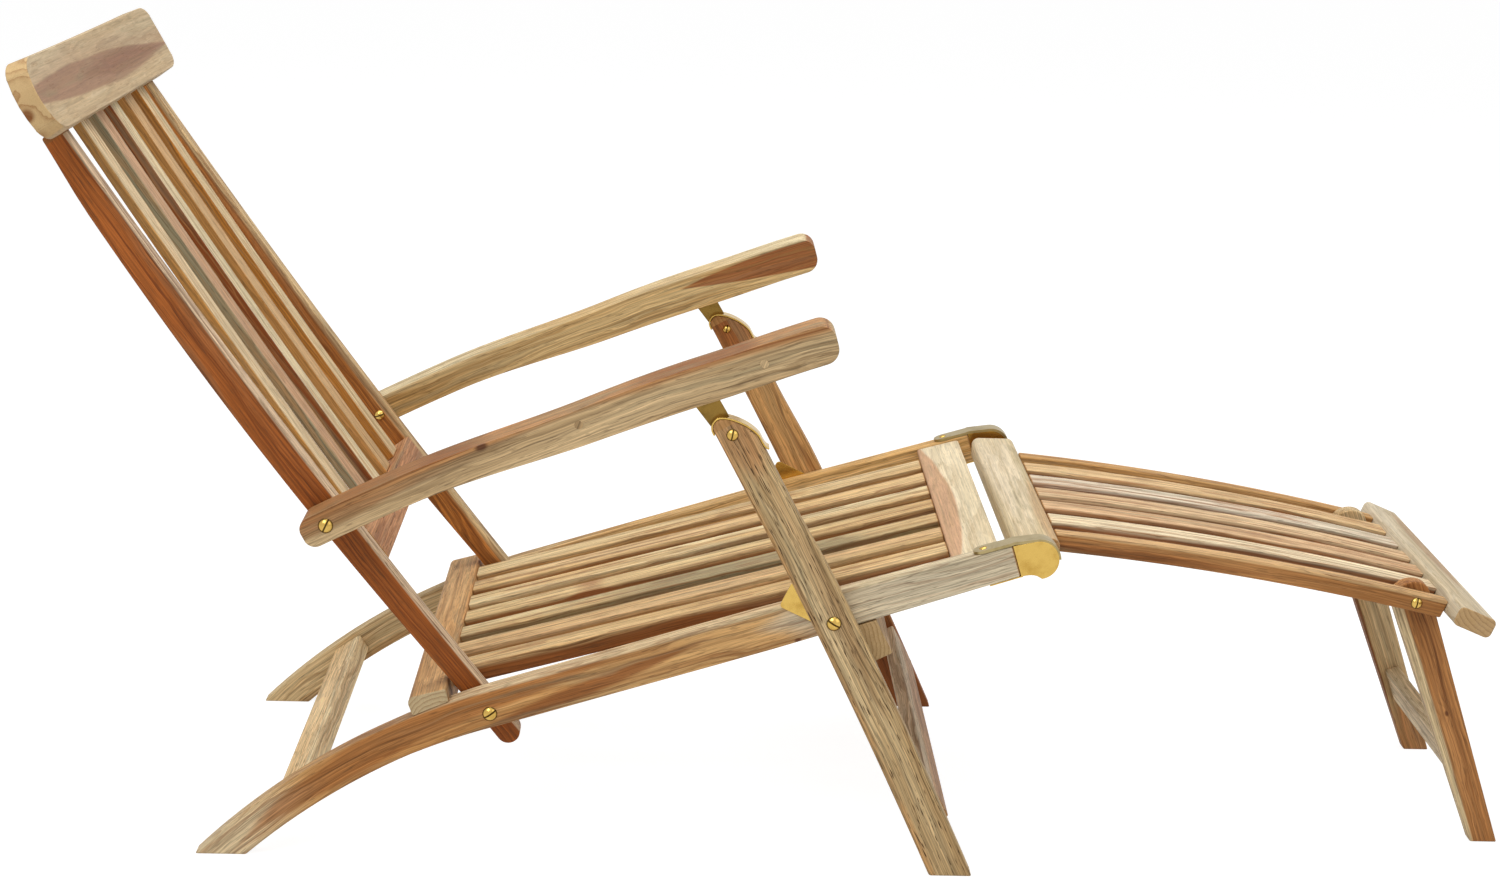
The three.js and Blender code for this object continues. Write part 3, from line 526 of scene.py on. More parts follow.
def copied(piece: Piece, name: str, y: float) -> Piece:
    """A copy of a piece with its own mesh, moved across the chair in its mesh.

    Args:
        piece: The piece that is copied.
        name: The copy's name.
        y: How far it moves.

    Returns:
        The copy.
    """
    twin = piece.copy()
    twin.data = piece.data.copy()
    twin.name = name
    bpy.context.collection.objects.link(twin)
    twin.data.transform(Matrix.Translation((0, y, 0)))
    return twin


# Shader expressions.


@dataclass(frozen=True)
class Value:
    """A number of a shader graph, on which Python's operators add Math nodes."""

    graph: Graph
    socket: bpy.types.NodeSocket

    def __add__(self, other: Number) -> Value:
        """The sum."""
        return self.graph.math("ADD", self, other)

    def __sub__(self, other: Number) -> Value:
        """The difference."""
        return self.graph.math("SUBTRACT", self, other)

    def __rsub__(self, other: Number) -> Value:
        """The difference, taken from a plain number."""
        return self.graph.math("SUBTRACT", other, self)

    def __mul__(self, other: Number) -> Value:
        """The product."""
        return self.graph.math("MULTIPLY", self, other)

    def __truediv__(self, other: Number) -> Value:
        """The quotient."""
        return self.graph.math("DIVIDE", self, other)

    __radd__ = __add__
    __rmul__ = __mul__

    def power(self, exponent: float) -> Value:
        """This value raised to a power."""
        return self.graph.math("POWER", self, exponent)

    def root(self) -> Value:
        """The square root."""
        return self.graph.math("SQRT", self)

    def arctan(self) -> Value:
        """The arctangent."""
        return self.graph.math("ARCTANGENT", self)

    def size(self) -> Value:
        """The value without its sign."""
        return self.graph.math("ABSOLUTE", self)

    def fraction(self) -> Value:
        """The part after the decimal point."""
        return self.graph.math("FRACT", self)

    def above(self, limit: float) -> Value:
        """1 where this value is over the limit, else 0."""
        return self.graph.math("GREATER_THAN", self, limit)

    def ramp(self, low: float, high: float) -> Value:
        """A smooth step from 0 at low to 1 at high.

        Args:
            low: The value where the step starts.
            high: The value where it ends.

        Returns:
            The step's height.
        """
        settings = {"interpolation_type": "SMOOTHSTEP"}
        inputs = {"Value": self, "From Min": low, "From Max": high}
        return Value(self.graph, self.graph.node("ShaderNodeMapRange", settings, inputs).outputs[0])


Number = Value | float


@dataclass
class Place:
    """The object coordinates of a shaded point."""

    x: Value
    y: Value
    z: Value


@dataclass
class Grain:
    """A shaded point's place in its timber: along the grain, in depth and in width."""

    along: Value
    depth: Value
    width: Value

    def measure(self, face: Face) -> Value:
        """The depth or the width."""
        return self.depth if face is Face.DEPTH else self.width


class Graph:
    """The node graph of a material or of the world."""

    def __init__(self, owner: bpy.types.Material | bpy.types.World) -> None:
        """Empties the graph of a material or of the world."""
        owner.use_nodes = True
        self.tree = owner.node_tree
        self.tree.nodes.clear()

    def node(
        self, kind: str, settings: dict[str, object] | None = None, inputs: dict | None = None,
    ) -> bpy.types.Node:
        """Adds a node.

        Args:
            kind: The node's type.
            settings: Its own settings, which are set first.
            inputs: The values or links of its sockets, by name or index.

        Returns:
            The node.
        """
        made = self.tree.nodes.new(kind)
        for key, setting in (settings or {}).items():
            setattr(made, key, setting)
        for key, given in (inputs or {}).items():
            socket = made.inputs[key]
            if isinstance(given, Value):
                self.tree.links.new(given.socket, socket)
            elif isinstance(given, bpy.types.NodeSocket):
                self.tree.links.new(given, socket)
            else:
                socket.default_value = given
        return made

    def math(self, operation: str, *values: Number) -> Value:
        """Adds a Math node.

        Args:
            operation: The node's operation.
            values: Its inputs in order.

        Returns:
            Its result.
        """
        made = self.node("ShaderNodeMath", {"operation": operation}, dict(enumerate(values)))
        return Value(self, made.outputs[0])

    def place(self) -> Place:
        """The object coordinates of the shaded point."""
        coordinates = self.node("ShaderNodeTexCoord")
        split = self.node("ShaderNodeSeparateXYZ", inputs={0: coordinates.outputs["Object"]})
        return Place(*(Value(self, socket) for socket in split.outputs))

    def noise(self, x: Number, y: Number, z: Number, detail: float = 2.0, rough: float = 0.5) -> Value:
        """Adds a noise texture at a stretched place.

        Args:
            x: The first coordinate.
            y: The second coordinate.
            z: The third coordinate.
            detail: The number of finer layers.
            rough: The strength of the finer layers.

        Returns:
            The noise, about 0 to 1 with its middle at 0.5.
        """
        vector = self.node("ShaderNodeCombineXYZ", inputs={0: x, 1: y, 2: z})
        inputs = {"Vector": vector.outputs[0], "Scale": 1.0, "Detail": detail, "Roughness": rough}
        return Value(self, self.node("ShaderNodeTexNoise", {"noise_dimensions": "3D"}, inputs).outputs[0])

    def mix(self, share: Number, first: object, second: object, how: str = "MIX") -> bpy.types.NodeSocket:
        """Mixes two colours.

        Args:
            share: How much of the second colour shows.
            first: The first colour or its socket.
            second: The second colour or its socket.
            how: The way of mixing.

        Returns:
            The socket of the mixed colour.
        """
        settings = {"data_type": "RGBA", "blend_type": how, "clamp_factor": True}
        return self.node("ShaderNodeMix", settings, {0: share, 6: first, 7: second}).outputs[2]

    def seen(self) -> Value:
        """1 for what the camera, a reflection or glass shows, else 0."""
        path = self.node("ShaderNodeLightPath")
        camera, mirrored, clear = (
            Value(self, path.outputs[f"Is {kind} Ray"]) for kind in ("Camera", "Glossy", "Transmission")
        )
        return self.math("MAXIMUM", self.math("MAXIMUM", camera, mirrored), clear)

    def finish(self, shader: bpy.types.Node, output: str = "ShaderNodeOutputMaterial") -> None:
        """Joins a shader to the graph's output."""
        self.node(output, inputs={"Surface": shader.outputs[0]})


def paint(code: str) -> Colour:
    """A colour from its six-digit screen code.

    Args:
        code: The code, such as "c79a63".

    Returns:
        The colour in linear light, with full alpha.
    """
    channels = [int(code[index : index + 2], 16) / 255 for index in (0, 2, 4)]
    linear = [c / 12.92 if c <= 0.04045 else ((c + 0.055) / 1.055) ** 2.4 for c in channels]
    return (*linear, 1.0)


# Finishes.


@dataclass(frozen=True)
class Patch:
    """A stretch of other tone in a piece: heartwood, sapwood or a knot's halo, and on some pieces a painted
    highlight or painted shade.
    """

    tone: str
    along: float
    at: float
    half_length: float
    half_breadth: float
    face: Face = Face.DEPTH
    soft: float = 0.25
    wander: float = 0.5
    slope: float = 0.0
    share: float = 1.0

    def mask(self, grain: Grain, wave: Value) -> Value:
        """Where the patch shows.

        Args:
            grain: The point's place in the timber.
            wave: A slow noise that makes the border wander.

        Returns:
            1 in the patch and 0 outside it.
        """
        ahead = (grain.along - self.along) / self.half_length
        aside = grain.measure(self.face) - self.at
        if self.slope:
            aside = aside - ahead * self.slope
        aside = (aside / self.half_breadth).size()
        reach = ahead * ahead + aside + (wave - 0.5) * (self.wander * 2)
        return (1.0 - reach.ramp(1 - self.soft, 1 + self.soft)) * self.share


@dataclass(frozen=True)
class Knot:
    """A knot, round which the growth lines swerve."""

    along: float
    depth: float
    width: float
    radius: float = 0.003
    tone: str = "5a3018"
    stretch: float = 1.7


@dataclass(frozen=True)
class Timber:
    """Unoiled, sanded hardwood, with its growth lines, streaks, fibres, pores and end grain.

    The corner is half a board's width, how far its ends fall back at its rounded corners, and how
    far their bow falls back there.
    """

    name: str
    pale: str
    mid: str
    dark: str
    slot: str = "honey_teak"
    end: str = "b98a55"
    end_ring: str = "80562c"
    weathered: str = "8f8263"
    pore_tone: Colour = (0.085, 0.045, 0.02, 1.0)
    end_depth: float = 0.0012
    ring: float = 0.0042
    ring_share: float = 0.5
    pith_depth: float = 0.045
    pith_width: float = 0.02
    taper: float = 0.03
    wander: float = 0.012
    streak: float = 0.55
    ash: float = 0.45
    contrast: float = 1.0
    fleck: float = 0.45
    seed: float = 0.0
    corner: Triple | None = None
    patches: tuple[Patch, ...] = ()
    knots: tuple[Knot, ...] = ()

    def material(self, run: Run, lie: Lie, middle: float, ends: Point) -> bpy.types.Material:
        """Makes the material for a piece.

        Args:
            run: The run that the piece follows.
            lie: Whether its grain follows the run or crosses the chair.
            middle: The middle of its breadth: a Y place, or a place along the run of a cross piece.
            ends: The places along the grain where its end grain shows.

        Returns:
            The material.
        """
        material = bpy.data.materials.new(self.name)
        graph = Graph(material)
        place = graph.place()
        along, across = run.grain(place)
        if lie is Lie.ALONG:
            grain = Grain(along, across, place.y - middle)
        else:
            grain = Grain(place.y + 0.0, across, along - middle)
        u, v, w = grain.along, grain.depth, grain.width
        s = self.seed

        wave = graph.noise(u * 7.0 + s, v * 30.0, w * 30.0 + s, 3.0)
        swerve = wave - 0.5
        late, knot_mask = self._growth(graph, grain, swerve)
        colour = self._tones(graph, grain, wave, swerve, late)

        threads = graph.noise(u * 5.0, v * 520.0 + swerve * 7.0, w * 520.0 + s, 3.0, 0.7)
        fibres = graph.noise(u * 26.0, v * 1300.0, w * 1300.0 + s, 3.0, 0.65)
        pores = graph.noise(u * 60.0 + s, v * 850.0, w * 850.0, 1.0).ramp(0.61, 0.72)
        shade = 1.0 + (threads - 0.5) * (2.1 * self.contrast) + (fibres - 0.5) * (1.0 * self.contrast)
        colour = graph.mix(1.0, colour, shade, "MULTIPLY")
        colour = graph.mix(pores * self.fleck, colour, self.pore_tone)

        cut = self._cut(graph, grain, ends)
        speckle = graph.noise(u * 20.0, v * 900.0, w * 900.0, 2.0).ramp(0.45, 0.75)
        rings = graph.mix(late * 0.75 + speckle * 0.25, paint(self.end), paint(self.end_ring))
        colour = graph.mix(cut * 0.85, colour, rings)
        if knot_mask is not None:
            colour = graph.mix(knot_mask * 0.85, colour, paint(self.knots[0].tone))

        roughness = 0.62 + (fibres - 0.5) * 0.2 + cut * 0.1 + pores * 0.1
        height = fibres * 0.5 - pores * 0.5 - late * 0.25
        bump = graph.node("ShaderNodeBump", inputs={"Strength": 0.35, "Distance": 0.00025, "Height": height})
        shader = graph.node("ShaderNodeBsdfPrincipled", inputs={
            "Base Color": colour, "Roughness": roughness, "Specular IOR Level": 0.22,
            "Normal": bump.outputs[0],
        })
        graph.finish(shader)
        return material

    def _growth(self, graph: Graph, grain: Grain, swerve: Value) -> tuple[Value, Value | None]:
        """The dark lines of late growth, which swerve round the knots.

        Args:
            graph: The material's graph.
            grain: The point's place in the timber.
            swerve: A slow noise about 0.

        Returns:
            1 in the late growth, and 1 in the knots, if there are any.
        """
        u, v, w = grain.along, grain.depth, grain.width
        shift = swerve * self.wander
        knot_mask: Value | None = None
        for knot in self.knots:
            ahead = (u - knot.along) / knot.stretch
            below = v - knot.depth
            aside = w - knot.width
            reach = (ahead * ahead + below * below + aside * aside).root()
            eye = 1.0 - reach.ramp(knot.radius * 0.45, knot.radius * 1.25)
            halo = 1.0 - reach.ramp(knot.radius, knot.radius * 5)
            shift = shift + halo * (knot.radius * 2.2)
            knot_mask = eye if knot_mask is None else graph.math("MAXIMUM", knot_mask, eye)

        to_pith_depth = v - self.pith_depth
        to_pith_width = w - self.pith_width
        off_pith = (to_pith_depth * to_pith_depth + to_pith_width * to_pith_width).root()
        reach = off_pith + u * self.taper + shift
        phase = (reach / self.ring + self.seed).fraction()
        return phase.power(3.0) * (1.0 - phase.ramp(0.93, 1.0)), knot_mask

    def _tones(
        self, graph: Graph, grain: Grain, wave: Value, swerve: Value, late: Value,
    ) -> bpy.types.NodeSocket:
        """The timber's colour: its tones, streaks and patches, and the growth lines over them.

        Args:
            graph: The material's graph.
            grain: The point's place in the timber.
            wave: A slow noise.
            swerve: The same noise about 0.
            late: 1 in the late growth.

        Returns:
            The colour's socket.
        """
        u, v, w = grain.along, grain.depth, grain.width
        s = self.seed
        fade = graph.noise(u * 3.0, v * 55.0 + s, w * 55.0, 2.0).ramp(0.35, 0.65)

        colour = graph.mix(graph.noise(u * 2.5 + s, v * 26.0, w * 26.0, 2.0).ramp(0.36, 0.64),
                           paint(self.pale), paint(self.mid))
        light_veins = graph.noise(u * 2.6 - s, v * 170.0 + swerve * 5.0, w * 170.0 + 9.0, 2.0)
        colour = graph.mix(light_veins.ramp(0.54, 0.66) * 0.6, colour, paint(self.pale))
        lines = graph.noise(u * 1.7 - s, v * 290.0 + swerve * 6.0, w * 290.0 + 3.0, 2.0)
        colour = graph.mix((1.0 - lines).ramp(0.57, 0.68) * (self.streak * 0.7), colour, paint(self.pale))
        for patch in self.patches:
            colour = graph.mix(patch.mask(grain, wave), colour, paint(patch.tone))
        veins = graph.noise(u * 2.4 + s, v * 135.0 + swerve * 5.0, w * 135.0, 3.0, 0.6)
        colour = graph.mix(veins.ramp(0.50, 0.64) * self.streak, colour, paint(self.dark))
        grey = graph.noise(u * 2.0 - s, v * 85.0 + swerve * 3.0, w * 85.0 + 5.0, 2.0)
        colour = graph.mix(grey.ramp(0.53, 0.72) * self.ash, colour, paint(self.weathered))
        colour = graph.mix(late * fade * self.ring_share, colour, paint(self.dark))
        return graph.mix(lines.ramp(0.57, 0.66) * (self.streak * 0.85), colour, paint(self.dark))

    def _cut(self, graph: Graph, grain: Grain, ends: Point) -> Value:
        """Where the end grain shows.

        Args:
            graph: The material's graph.
            grain: The point's place in the timber.
            ends: The places along the grain of the two ends.

        Returns:
            1 on the end grain.
        """
        u, w = grain.along, grain.width
        low, high = ends
        lost = self.end_depth
        if self.corner:
            half, fallen, bow = self.corner
            edge = w / half
            edge = edge * edge
            bowed = edge * bow
            edge = edge * edge
            lost = edge * edge * fallen + bowed + self.end_depth
        return graph.math("MAXIMUM", u - high + lost, low - u + lost).ramp(-0.0005, 0.0003)


@dataclass(frozen=True)
class Brass:
    """Sheet or turned brass, polished and a little smudged.

    A bolt's brass has its axis in the side view, its head's radius and its slot's direction and
    half width, for the painted shade and painted dark reflection round its rim, and the dirt and
    painted shade in its slot.
    """

    name: str
    tone: str = "e0bb62"
    deep: str = "b98a38"
    rough: float = 0.2
    axis: Point | None = None
    radius: float = 0.0075
    turn: float = 0.0
    slot_half: float = 0.0009
    # Dark colour for the dirt and painted shade in a slot, and the painted shade and dark reflection round a rim.
    dirt_and_shade: str = "2c1c0a"

    def material(self) -> bpy.types.Material:
        """Makes the material: a smudged metal, with dirt and painted shade in a bolt's slot, and
        painted shade and a painted dark reflection round its rim.

        Returns:
            The material.
        """
        material = bpy.data.materials.new(self.name)
        graph = Graph(material)
        place = graph.place()
        smudge = graph.noise(place.x * 60.0, place.y * 60.0, place.z * 60.0, 4.0, 0.6)
        rub = graph.noise(place.x * 900.0, place.y * 250.0, place.z * 900.0, 2.0)
        colour = graph.mix(smudge.ramp(0.4, 0.75) * 0.55, paint(self.tone), paint(self.deep))
        if self.axis:
            x, z = place.x - self.axis[0], place.z - self.axis[1]
            out = (x * x + z * z).root() / self.radius
            angle = math.radians(self.turn)
            off = (z * math.cos(angle) - x * math.sin(angle)).size() / self.slot_half
            # Painted shade and a painted dark reflection round the head's rim, then dirt and painted shade in the
            # slot.
            colour = graph.mix(out.ramp(0.74, 0.98) * 0.85, colour, paint(self.dirt_and_shade))
            colour = graph.mix((1.0 - off.ramp(0.75, 1.15)) * 0.9, colour, paint(self.dirt_and_shade))
        roughness = self.rough + (smudge - 0.5) * 0.22 + rub * 0.06
        height = smudge + rub * 0.3
        bump = graph.node("ShaderNodeBump", inputs={"Strength": 0.12, "Distance": 0.0002, "Height": height})
        shader = graph.node("ShaderNodeBsdfPrincipled", inputs={
            "Base Color": colour, "Metallic": 1.0, "Roughness": roughness, "Normal": bump.outputs[0],
        })
        graph.finish(shader)
        return material


POLISHED = Brass("polished_brass", "cfac5c", "a67c30", 0.22)
AGED = Brass("aged_brass", "a8966a", "7c6a42", 0.34)
DULLED = Brass("dulled_brass", "8a6c34", "3a2a10", 0.24)

HONEY = Timber("honey_timber", "d4a96e", "be8a4e", "844f24")
CREAM = Timber("cream_timber", "dcc6a0", "cbb088", "9a7448", "cream_teak", ring_share=0.42, streak=0.4)
RUSSET = Timber(
    "russet_timber", "b0713c", "98592a", "65300f", "russet_teak", end="86552b", ring_share=0.5, ash=0.15,
)
GREY = Timber("grey_timber", "cbb189", "b0946c", "78603f", ring_share=0.5, streak=0.6, ash=0.6)


@dataclass
class Dressing:
    """Dresses pieces: gives each its material and its body, and hides the node of the frame that it stands for."""

    metals: dict[str, bpy.types.Material] = field(default_factory=dict)

    def timber(
        self, piece: Piece, node: str, body: str, wood: Timber, run: Run, lie: Lie,
        middle: float, ends: Point,
    ) -> None:
        """Dresses a timber piece.

        Args:
            piece: The finished piece.
            node: The node of the frame that it stands for.
            body: The body that it rides on.
            wood: Its finish.
            run: The run that it follows.
            lie: How its grain lies.
            middle: The middle of its breadth.
            ends: The places of its end grain.
        """
        finish = replace(wood, name=f"{wood.name}_{node}")
        self._dress(piece, body, finish.material(run, lie, middle, ends))
        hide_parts(node)
        log.info("timber piece %s stands for %s", piece.name, node)

    def metal(self, piece: Piece, body: str, brass: Brass = POLISHED, node: str | None = None) -> None:
        """Dresses a brass piece.

        Args:
            piece: The finished piece.
            body: The body that it rides on.
            brass: Its finish.
            node: The node of the frame that it stands for, if it stands for one.
        """
        self._dress(piece, body, self._brass(brass))
        if node:
            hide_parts(node)
        log.info("brass piece %s rides on %s", piece.name, body)

    def carried(self, node: str, brass: Brass) -> None:
        """Gives a brass node of the frame, which shows as it is, its finish.

        Args:
            node: The node's name.
            brass: Its finish.
        """
        for place in bpy.data.objects[node].material_slots:
            place.material = self._brass(brass)
        log.info("brass node %s shows as it is", node)

    def _brass(self, brass: Brass) -> bpy.types.Material:
        """The material of a brass finish, which is made once."""
        if brass.name not in self.metals:
            self.metals[brass.name] = brass.material()
        return self.metals[brass.name]

    def _dress(self, piece: Piece, body: str, material: bpy.types.Material) -> None:
        """Gives a piece its material and its body."""
        piece.data.materials.clear()
        piece.data.materials.append(material)
        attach(piece, body)


# Sub-assemblies.


@dataclass
class Joinery:
    """A sub-assembly's joinery: mirrored pairs, pieces across the chair and rows of slats."""

    body: ClassVar[str]
    dressing: Dressing

    def pair(
        self, name: str, node: str, outline: Outline, faces: Point, woods: tuple[Timber, Timber],
        run: Run,
        ends: Point, arris: float, trim: Trim | None = None, body: str = "",
    ) -> None:
        """Makes the right and the left piece of a pair, with the grain along their run.

        Args:
            name: The pieces' name, before their side.
            node: Their nodes' name, before the side.
            outline: Their outline in the side view.
            faces: The Y distances of their inner and outer faces.
            woods: The finishes of the right and the left piece.
            run: The run that they follow.
            ends: The places of their end grain.
            arris: The width of their eased arrises.
            trim: A cut that each gets before its arrises are eased.
            body: The body that they ride on, if it isn't the sub-assembly's own.
        """
        for side, wood in zip(Side, woods, strict=True):
            piece = sawn(f"{name}_{side.word}", outline, *(side.sign * face for face in faces))
            if trim:
                trim(piece)
            ease(piece, arris)
            self.dressing.timber(
                piece, f"{node}_{side.word}", body or self.body, wood, run, Lie.ALONG,
                side.sign * sum(faces) / 2, ends,
            )

    def cross(
        self, name: str, node: str, outline: Outline, reach: float, wood: Timber, run: Run,
        arris: float = 0.0014, tools: tuple[Piece, ...] = (), body: str = "",
    ) -> None:
        """Makes a piece that lies across the chair, with its grain across too.

        Args:
            name: The piece's name.
            node: Its node's name.
            outline: Its outline in the side view.
            reach: How far it reaches to each side.
            wood: Its finish.
            run: The run that its width follows.
            arris: The width of its eased arrises.
            tools: The shapes that are cut out of it.
            body: The body that it rides on, if it isn't the sub-assembly's own.
        """
        piece = sawn(name, outline, -reach, reach)
        carve(piece, *tools)
        ease(piece, arris)
        self.dressing.timber(piece, node, body or self.body, wood, run, Lie.ACROSS, 0.0, (-reach, reach))

    def row(
        self, name: str, node: str, master: Piece, pitch: float, woods: list[Timber], run: Run,
        ends: Point,
    ) -> None:
        """Copies a slat across the chair, and removes the slat that was copied.

        Args:
            name: The copies' name, before their number.
            node: Their nodes' name, before the number.
            master: The slat, in the middle of the chair.
            pitch: The distance from one to the next.
            woods: Their finishes, from the right.
            run: The run that they follow.
            ends: The places of their end grain.
        """
        for index, wood in enumerate(woods):
            y = (index - (len(woods) - 1) / 2) * pitch
            slat = copied(master, f"{name}_{index + 1}", y)
            self.dressing.timber(slat, f"{node}_{index + 1}", self.body, wood, run, Lie.ALONG, y, ends)
        bpy.data.objects.remove(master)


@dataclass
class SeatFrame(Joinery):
    """The two bent rails, the boards and the slats between them."""

    body: ClassVar[str] = "seat_frame"
    leg_pivot: Point = (0.639, 0.2655)
    slope: float = 17.5
    over_pivot: float = 0.0035
    bend_behind: float = 0.352
    bend_radius: float = 0.718
    front_reach: float = 0.191
    taper_behind: float = 0.070
    thin_behind: float = 0.452
    length_behind: float = 0.725
    depth_foot: float = 0.0355
    depth_middle: float = 0.0405
    depth_front: float = 0.032
    outer_y: float = 0.245
    inner_y: float = 0.223
    seat_top: Point = (0.253, 0.181)
    seat_slope: float = 15.4
    slat_length: float = 0.523
    slat_width: float = 0.034
    slat_depth: float = 0.018
    slat_pitch: float = 0.0568
    slat_count: int = 7
    slat_arris: float = 0.0016
    rail_arris: float = 0.002
    stretcher_at: Triple = (0.103, 0.067, 34.0)
    stretcher: Section = Section(0.0175, 0.010)
    rear_board_at: Point = (-0.020, -0.014)
    front_board: Section = Section(0.0245, 0.012, 0.003, 4)
    front_board_proud: float = 0.003

    def rail_run(self) -> BentRun:
        """The line that a seat rail follows."""
        x, z = Bow(*self.leg_pivot, self.slope).point(0.0, self.over_pivot)
        front = Bow(x + SIDE_ORIGIN, z, self.slope)
        behind = front.shifted(-self.bend_behind, 0.0, radius=-self.bend_radius)
        return BentRun(front, behind, -self.bend_behind)

    def seat_run(self) -> Bow:
        """The line along the tops of the seat slats."""
        return Bow(*self.seat_top, self.seat_slope)

    def rail_half(self, along: float) -> float:
        """Half a seat rail's depth at a place along it."""
        behind = blend(along, -self.thin_behind, -self.bend_behind, self.depth_foot, self.depth_middle)
        return blend(along, -self.taper_behind, self.front_reach, behind, self.depth_front) / 2

    def build(self) -> None:
        """Makes the seat frame's timber."""
        self._rails()
        self._boards()
        self._slats()

    def _rails(self) -> None:
        """Makes the two seat rails, sawn off level at their feet."""
        run = self.rail_run()
        outline = tapered_bar(run, -self.length_behind, self.front_reach, self.rail_half, 60)
        near = replace(
            HONEY, pale="d2a66c", mid="b8854c", dark="7d481d", seed=2.3, streak=0.45, pith_depth=0.16,
            pith_width=-0.05,
            taper=0.10, patches=(
                Patch("d6c29c", -0.77, 0.0, 0.20, 0.05, soft=0.5, wander=0.6, share=0.9),
                Patch("9d602b", -0.44, 0.006, 0.22, 0.016, wander=0.6, share=0.75, slope=0.012),
                Patch("8a4f22", -0.255, -0.006, 0.12, 0.008, soft=0.4, wander=0.5, share=0.8, slope=0.014),
                Patch("cfc0a2", 0.13, -0.010, 0.19, 0.060, soft=0.3, wander=0.5, slope=-0.012),
                # A pale strip along the rail's top arris: a painted highlight.
                Patch("dcc79f", -0.1, 0.0205, 0.6, 0.0035, soft=0.5, wander=0.3, share=0.8),
            ),
            knots=(Knot(-0.040, -0.0175, -0.011, 0.0024),),
        )
        far = replace(
            HONEY, pale="e0bb82", mid="cfa263", dark="936631", seed=7.9, ash=0.15, pith_depth=-0.11,
            pith_width=0.03,
            patches=(Patch("d5bd90", -0.55, 0.0, 0.3, 0.1, wander=0.9, share=0.8),),
        )
        self.pair("rail", "seat_rail", outline, (self.inner_y, self.outer_y), (near, far), run,
                  (-ENDLESS, self.front_reach), self.rail_arris, cut_at_floor)

    def _boards(self) -> None:
        """Makes the rear stretcher and the two boards that the slats run between."""
        cross = self.inner_y - SEAT_GAP
        low = Bow(*self.stretcher_at)
        wood = replace(
            HONEY, pale="f0d2a0", mid="e2bd86", dark="ad804c", seed=4.4, ash=0.1, pith_depth=0.03,
            pith_width=0.07,
            patches=(Patch("ead4a8", 0.0, 0.0145, 1.0, 0.005, face=Face.WIDTH, wander=0.3),),
        )
        self.cross("stretcher", "rear_stretcher", self.stretcher.outline(low), cross, wood, low)

        seat = self.seat_run()
        rear = seat.shifted(*self.rear_board_at)
        outline = [
            *arc(rear, 0.018, 0.012, 0.002, 90, 0, 4),
            rear.point(0.020, -0.014),
            rear.point(-0.018, -0.014),
            *arc(rear, -0.013, 0.007, 0.007, 180, 90, 8),
        ]
        notch = tapered_bar(
            self.rail_run(), -self.length_behind, -self.taper_behind,
            lambda along: self.rail_half(along) + SEAT_GAP, 40,
        )
        notches = tuple(
            sawn(f"notch_{side.word}", notch, side.sign * cross, side.sign * (self.outer_y + 0.002))
            for side in Side
        )
        wood = replace(
            CREAM, pale="d3ab78", mid="c0915c", dark="8f6034", seed=1.7, end="c2b08a", pith_depth=-0.035,
            pith_width=0.01, knots=(Knot(-0.2, 0.012, 0.014, 0.0025),),
        )
        self.cross("rear_board", "rear_seat_board", outline, self.outer_y, wood, rear, tools=notches)

        board = self.front_board
        front = seat.shifted(
            self.slat_length + SEAT_GAP + board.half_width, self.front_board_proud - board.half_depth,
        )
        wood = replace(
            CREAM, pale="e6d6b6", mid="dac9a6", dark="a88c62", seed=9.1, ring=0.007, pith_depth=-0.06,
            contrast=0.55, fleck=0.2, streak=0.3,
            patches=(
                Patch("c9a07c", -0.02, -0.030, 0.30, 0.028, face=Face.WIDTH, soft=0.06, wander=0.12),
            ),
        )
        self.cross("front_board", "front_seat_board", board.outline(front), cross, wood, front)

    def _slats(self) -> None:
        """Makes one seat slat and copies it across the seat."""
        seat = self.seat_run()
        outline = [
            seat.point(SEAT_GAP, 0.0),
            seat.point(self.slat_length, 0.0),
            seat.point(self.slat_length, -self.slat_depth),
            seat.point(SEAT_GAP, -self.slat_depth),
        ]
        master = sawn("seat_slat", outline, -self.slat_width / 2, self.slat_width / 2)
        ease(master, self.slat_arris)
        tops = ("e2c592", "dcb886", "d9c293", "e2c792", "e6d2a4", "dfc08f", "e4cb9a")
        # The slats' darker sides are painted shade, laid over each slat's own side tone.
        shaded_sides = ("83430f", "a8723a", "857146", "8a4c1a", "ab7b41", "8c5220", "b07d42")
        shaded_low_side = (-0.014, -0.0155, -0.013, -0.0135, -0.015, -0.0145, -0.0145)
        woods = []
        for index in range(self.slat_count):
            patches = [Patch(shaded_sides[index], 0.26, shaded_low_side[index], 1.0, 0.0115, wander=0.35, soft=0.3, share=0.92)]
            if index == 2:
                patches.append(Patch("8d8262", 0.30, -0.006, 0.16, 0.012, soft=0.6, wander=0.9, share=0.7))
            if index == 3:
                patches.append(Patch("96592f", 0.14, -0.004, 0.03, 0.004, soft=0.5, wander=0.4))
            woods.append(replace(
                CREAM, pale=tops[index], mid="d3b07a", dark="845024", seed=3.1 * index + 0.7, ash=0.35,
                pith_depth=0.03 * (-1) ** index, pith_width=0.035 * math.cos(index * 2.0), streak=0.6,
                patches=tuple(patches),
            ))
        self.row(
            "seat_slat_timber", "seat_slat", master, self.slat_pitch, woods, seat, (0.0, self.slat_length),
        )


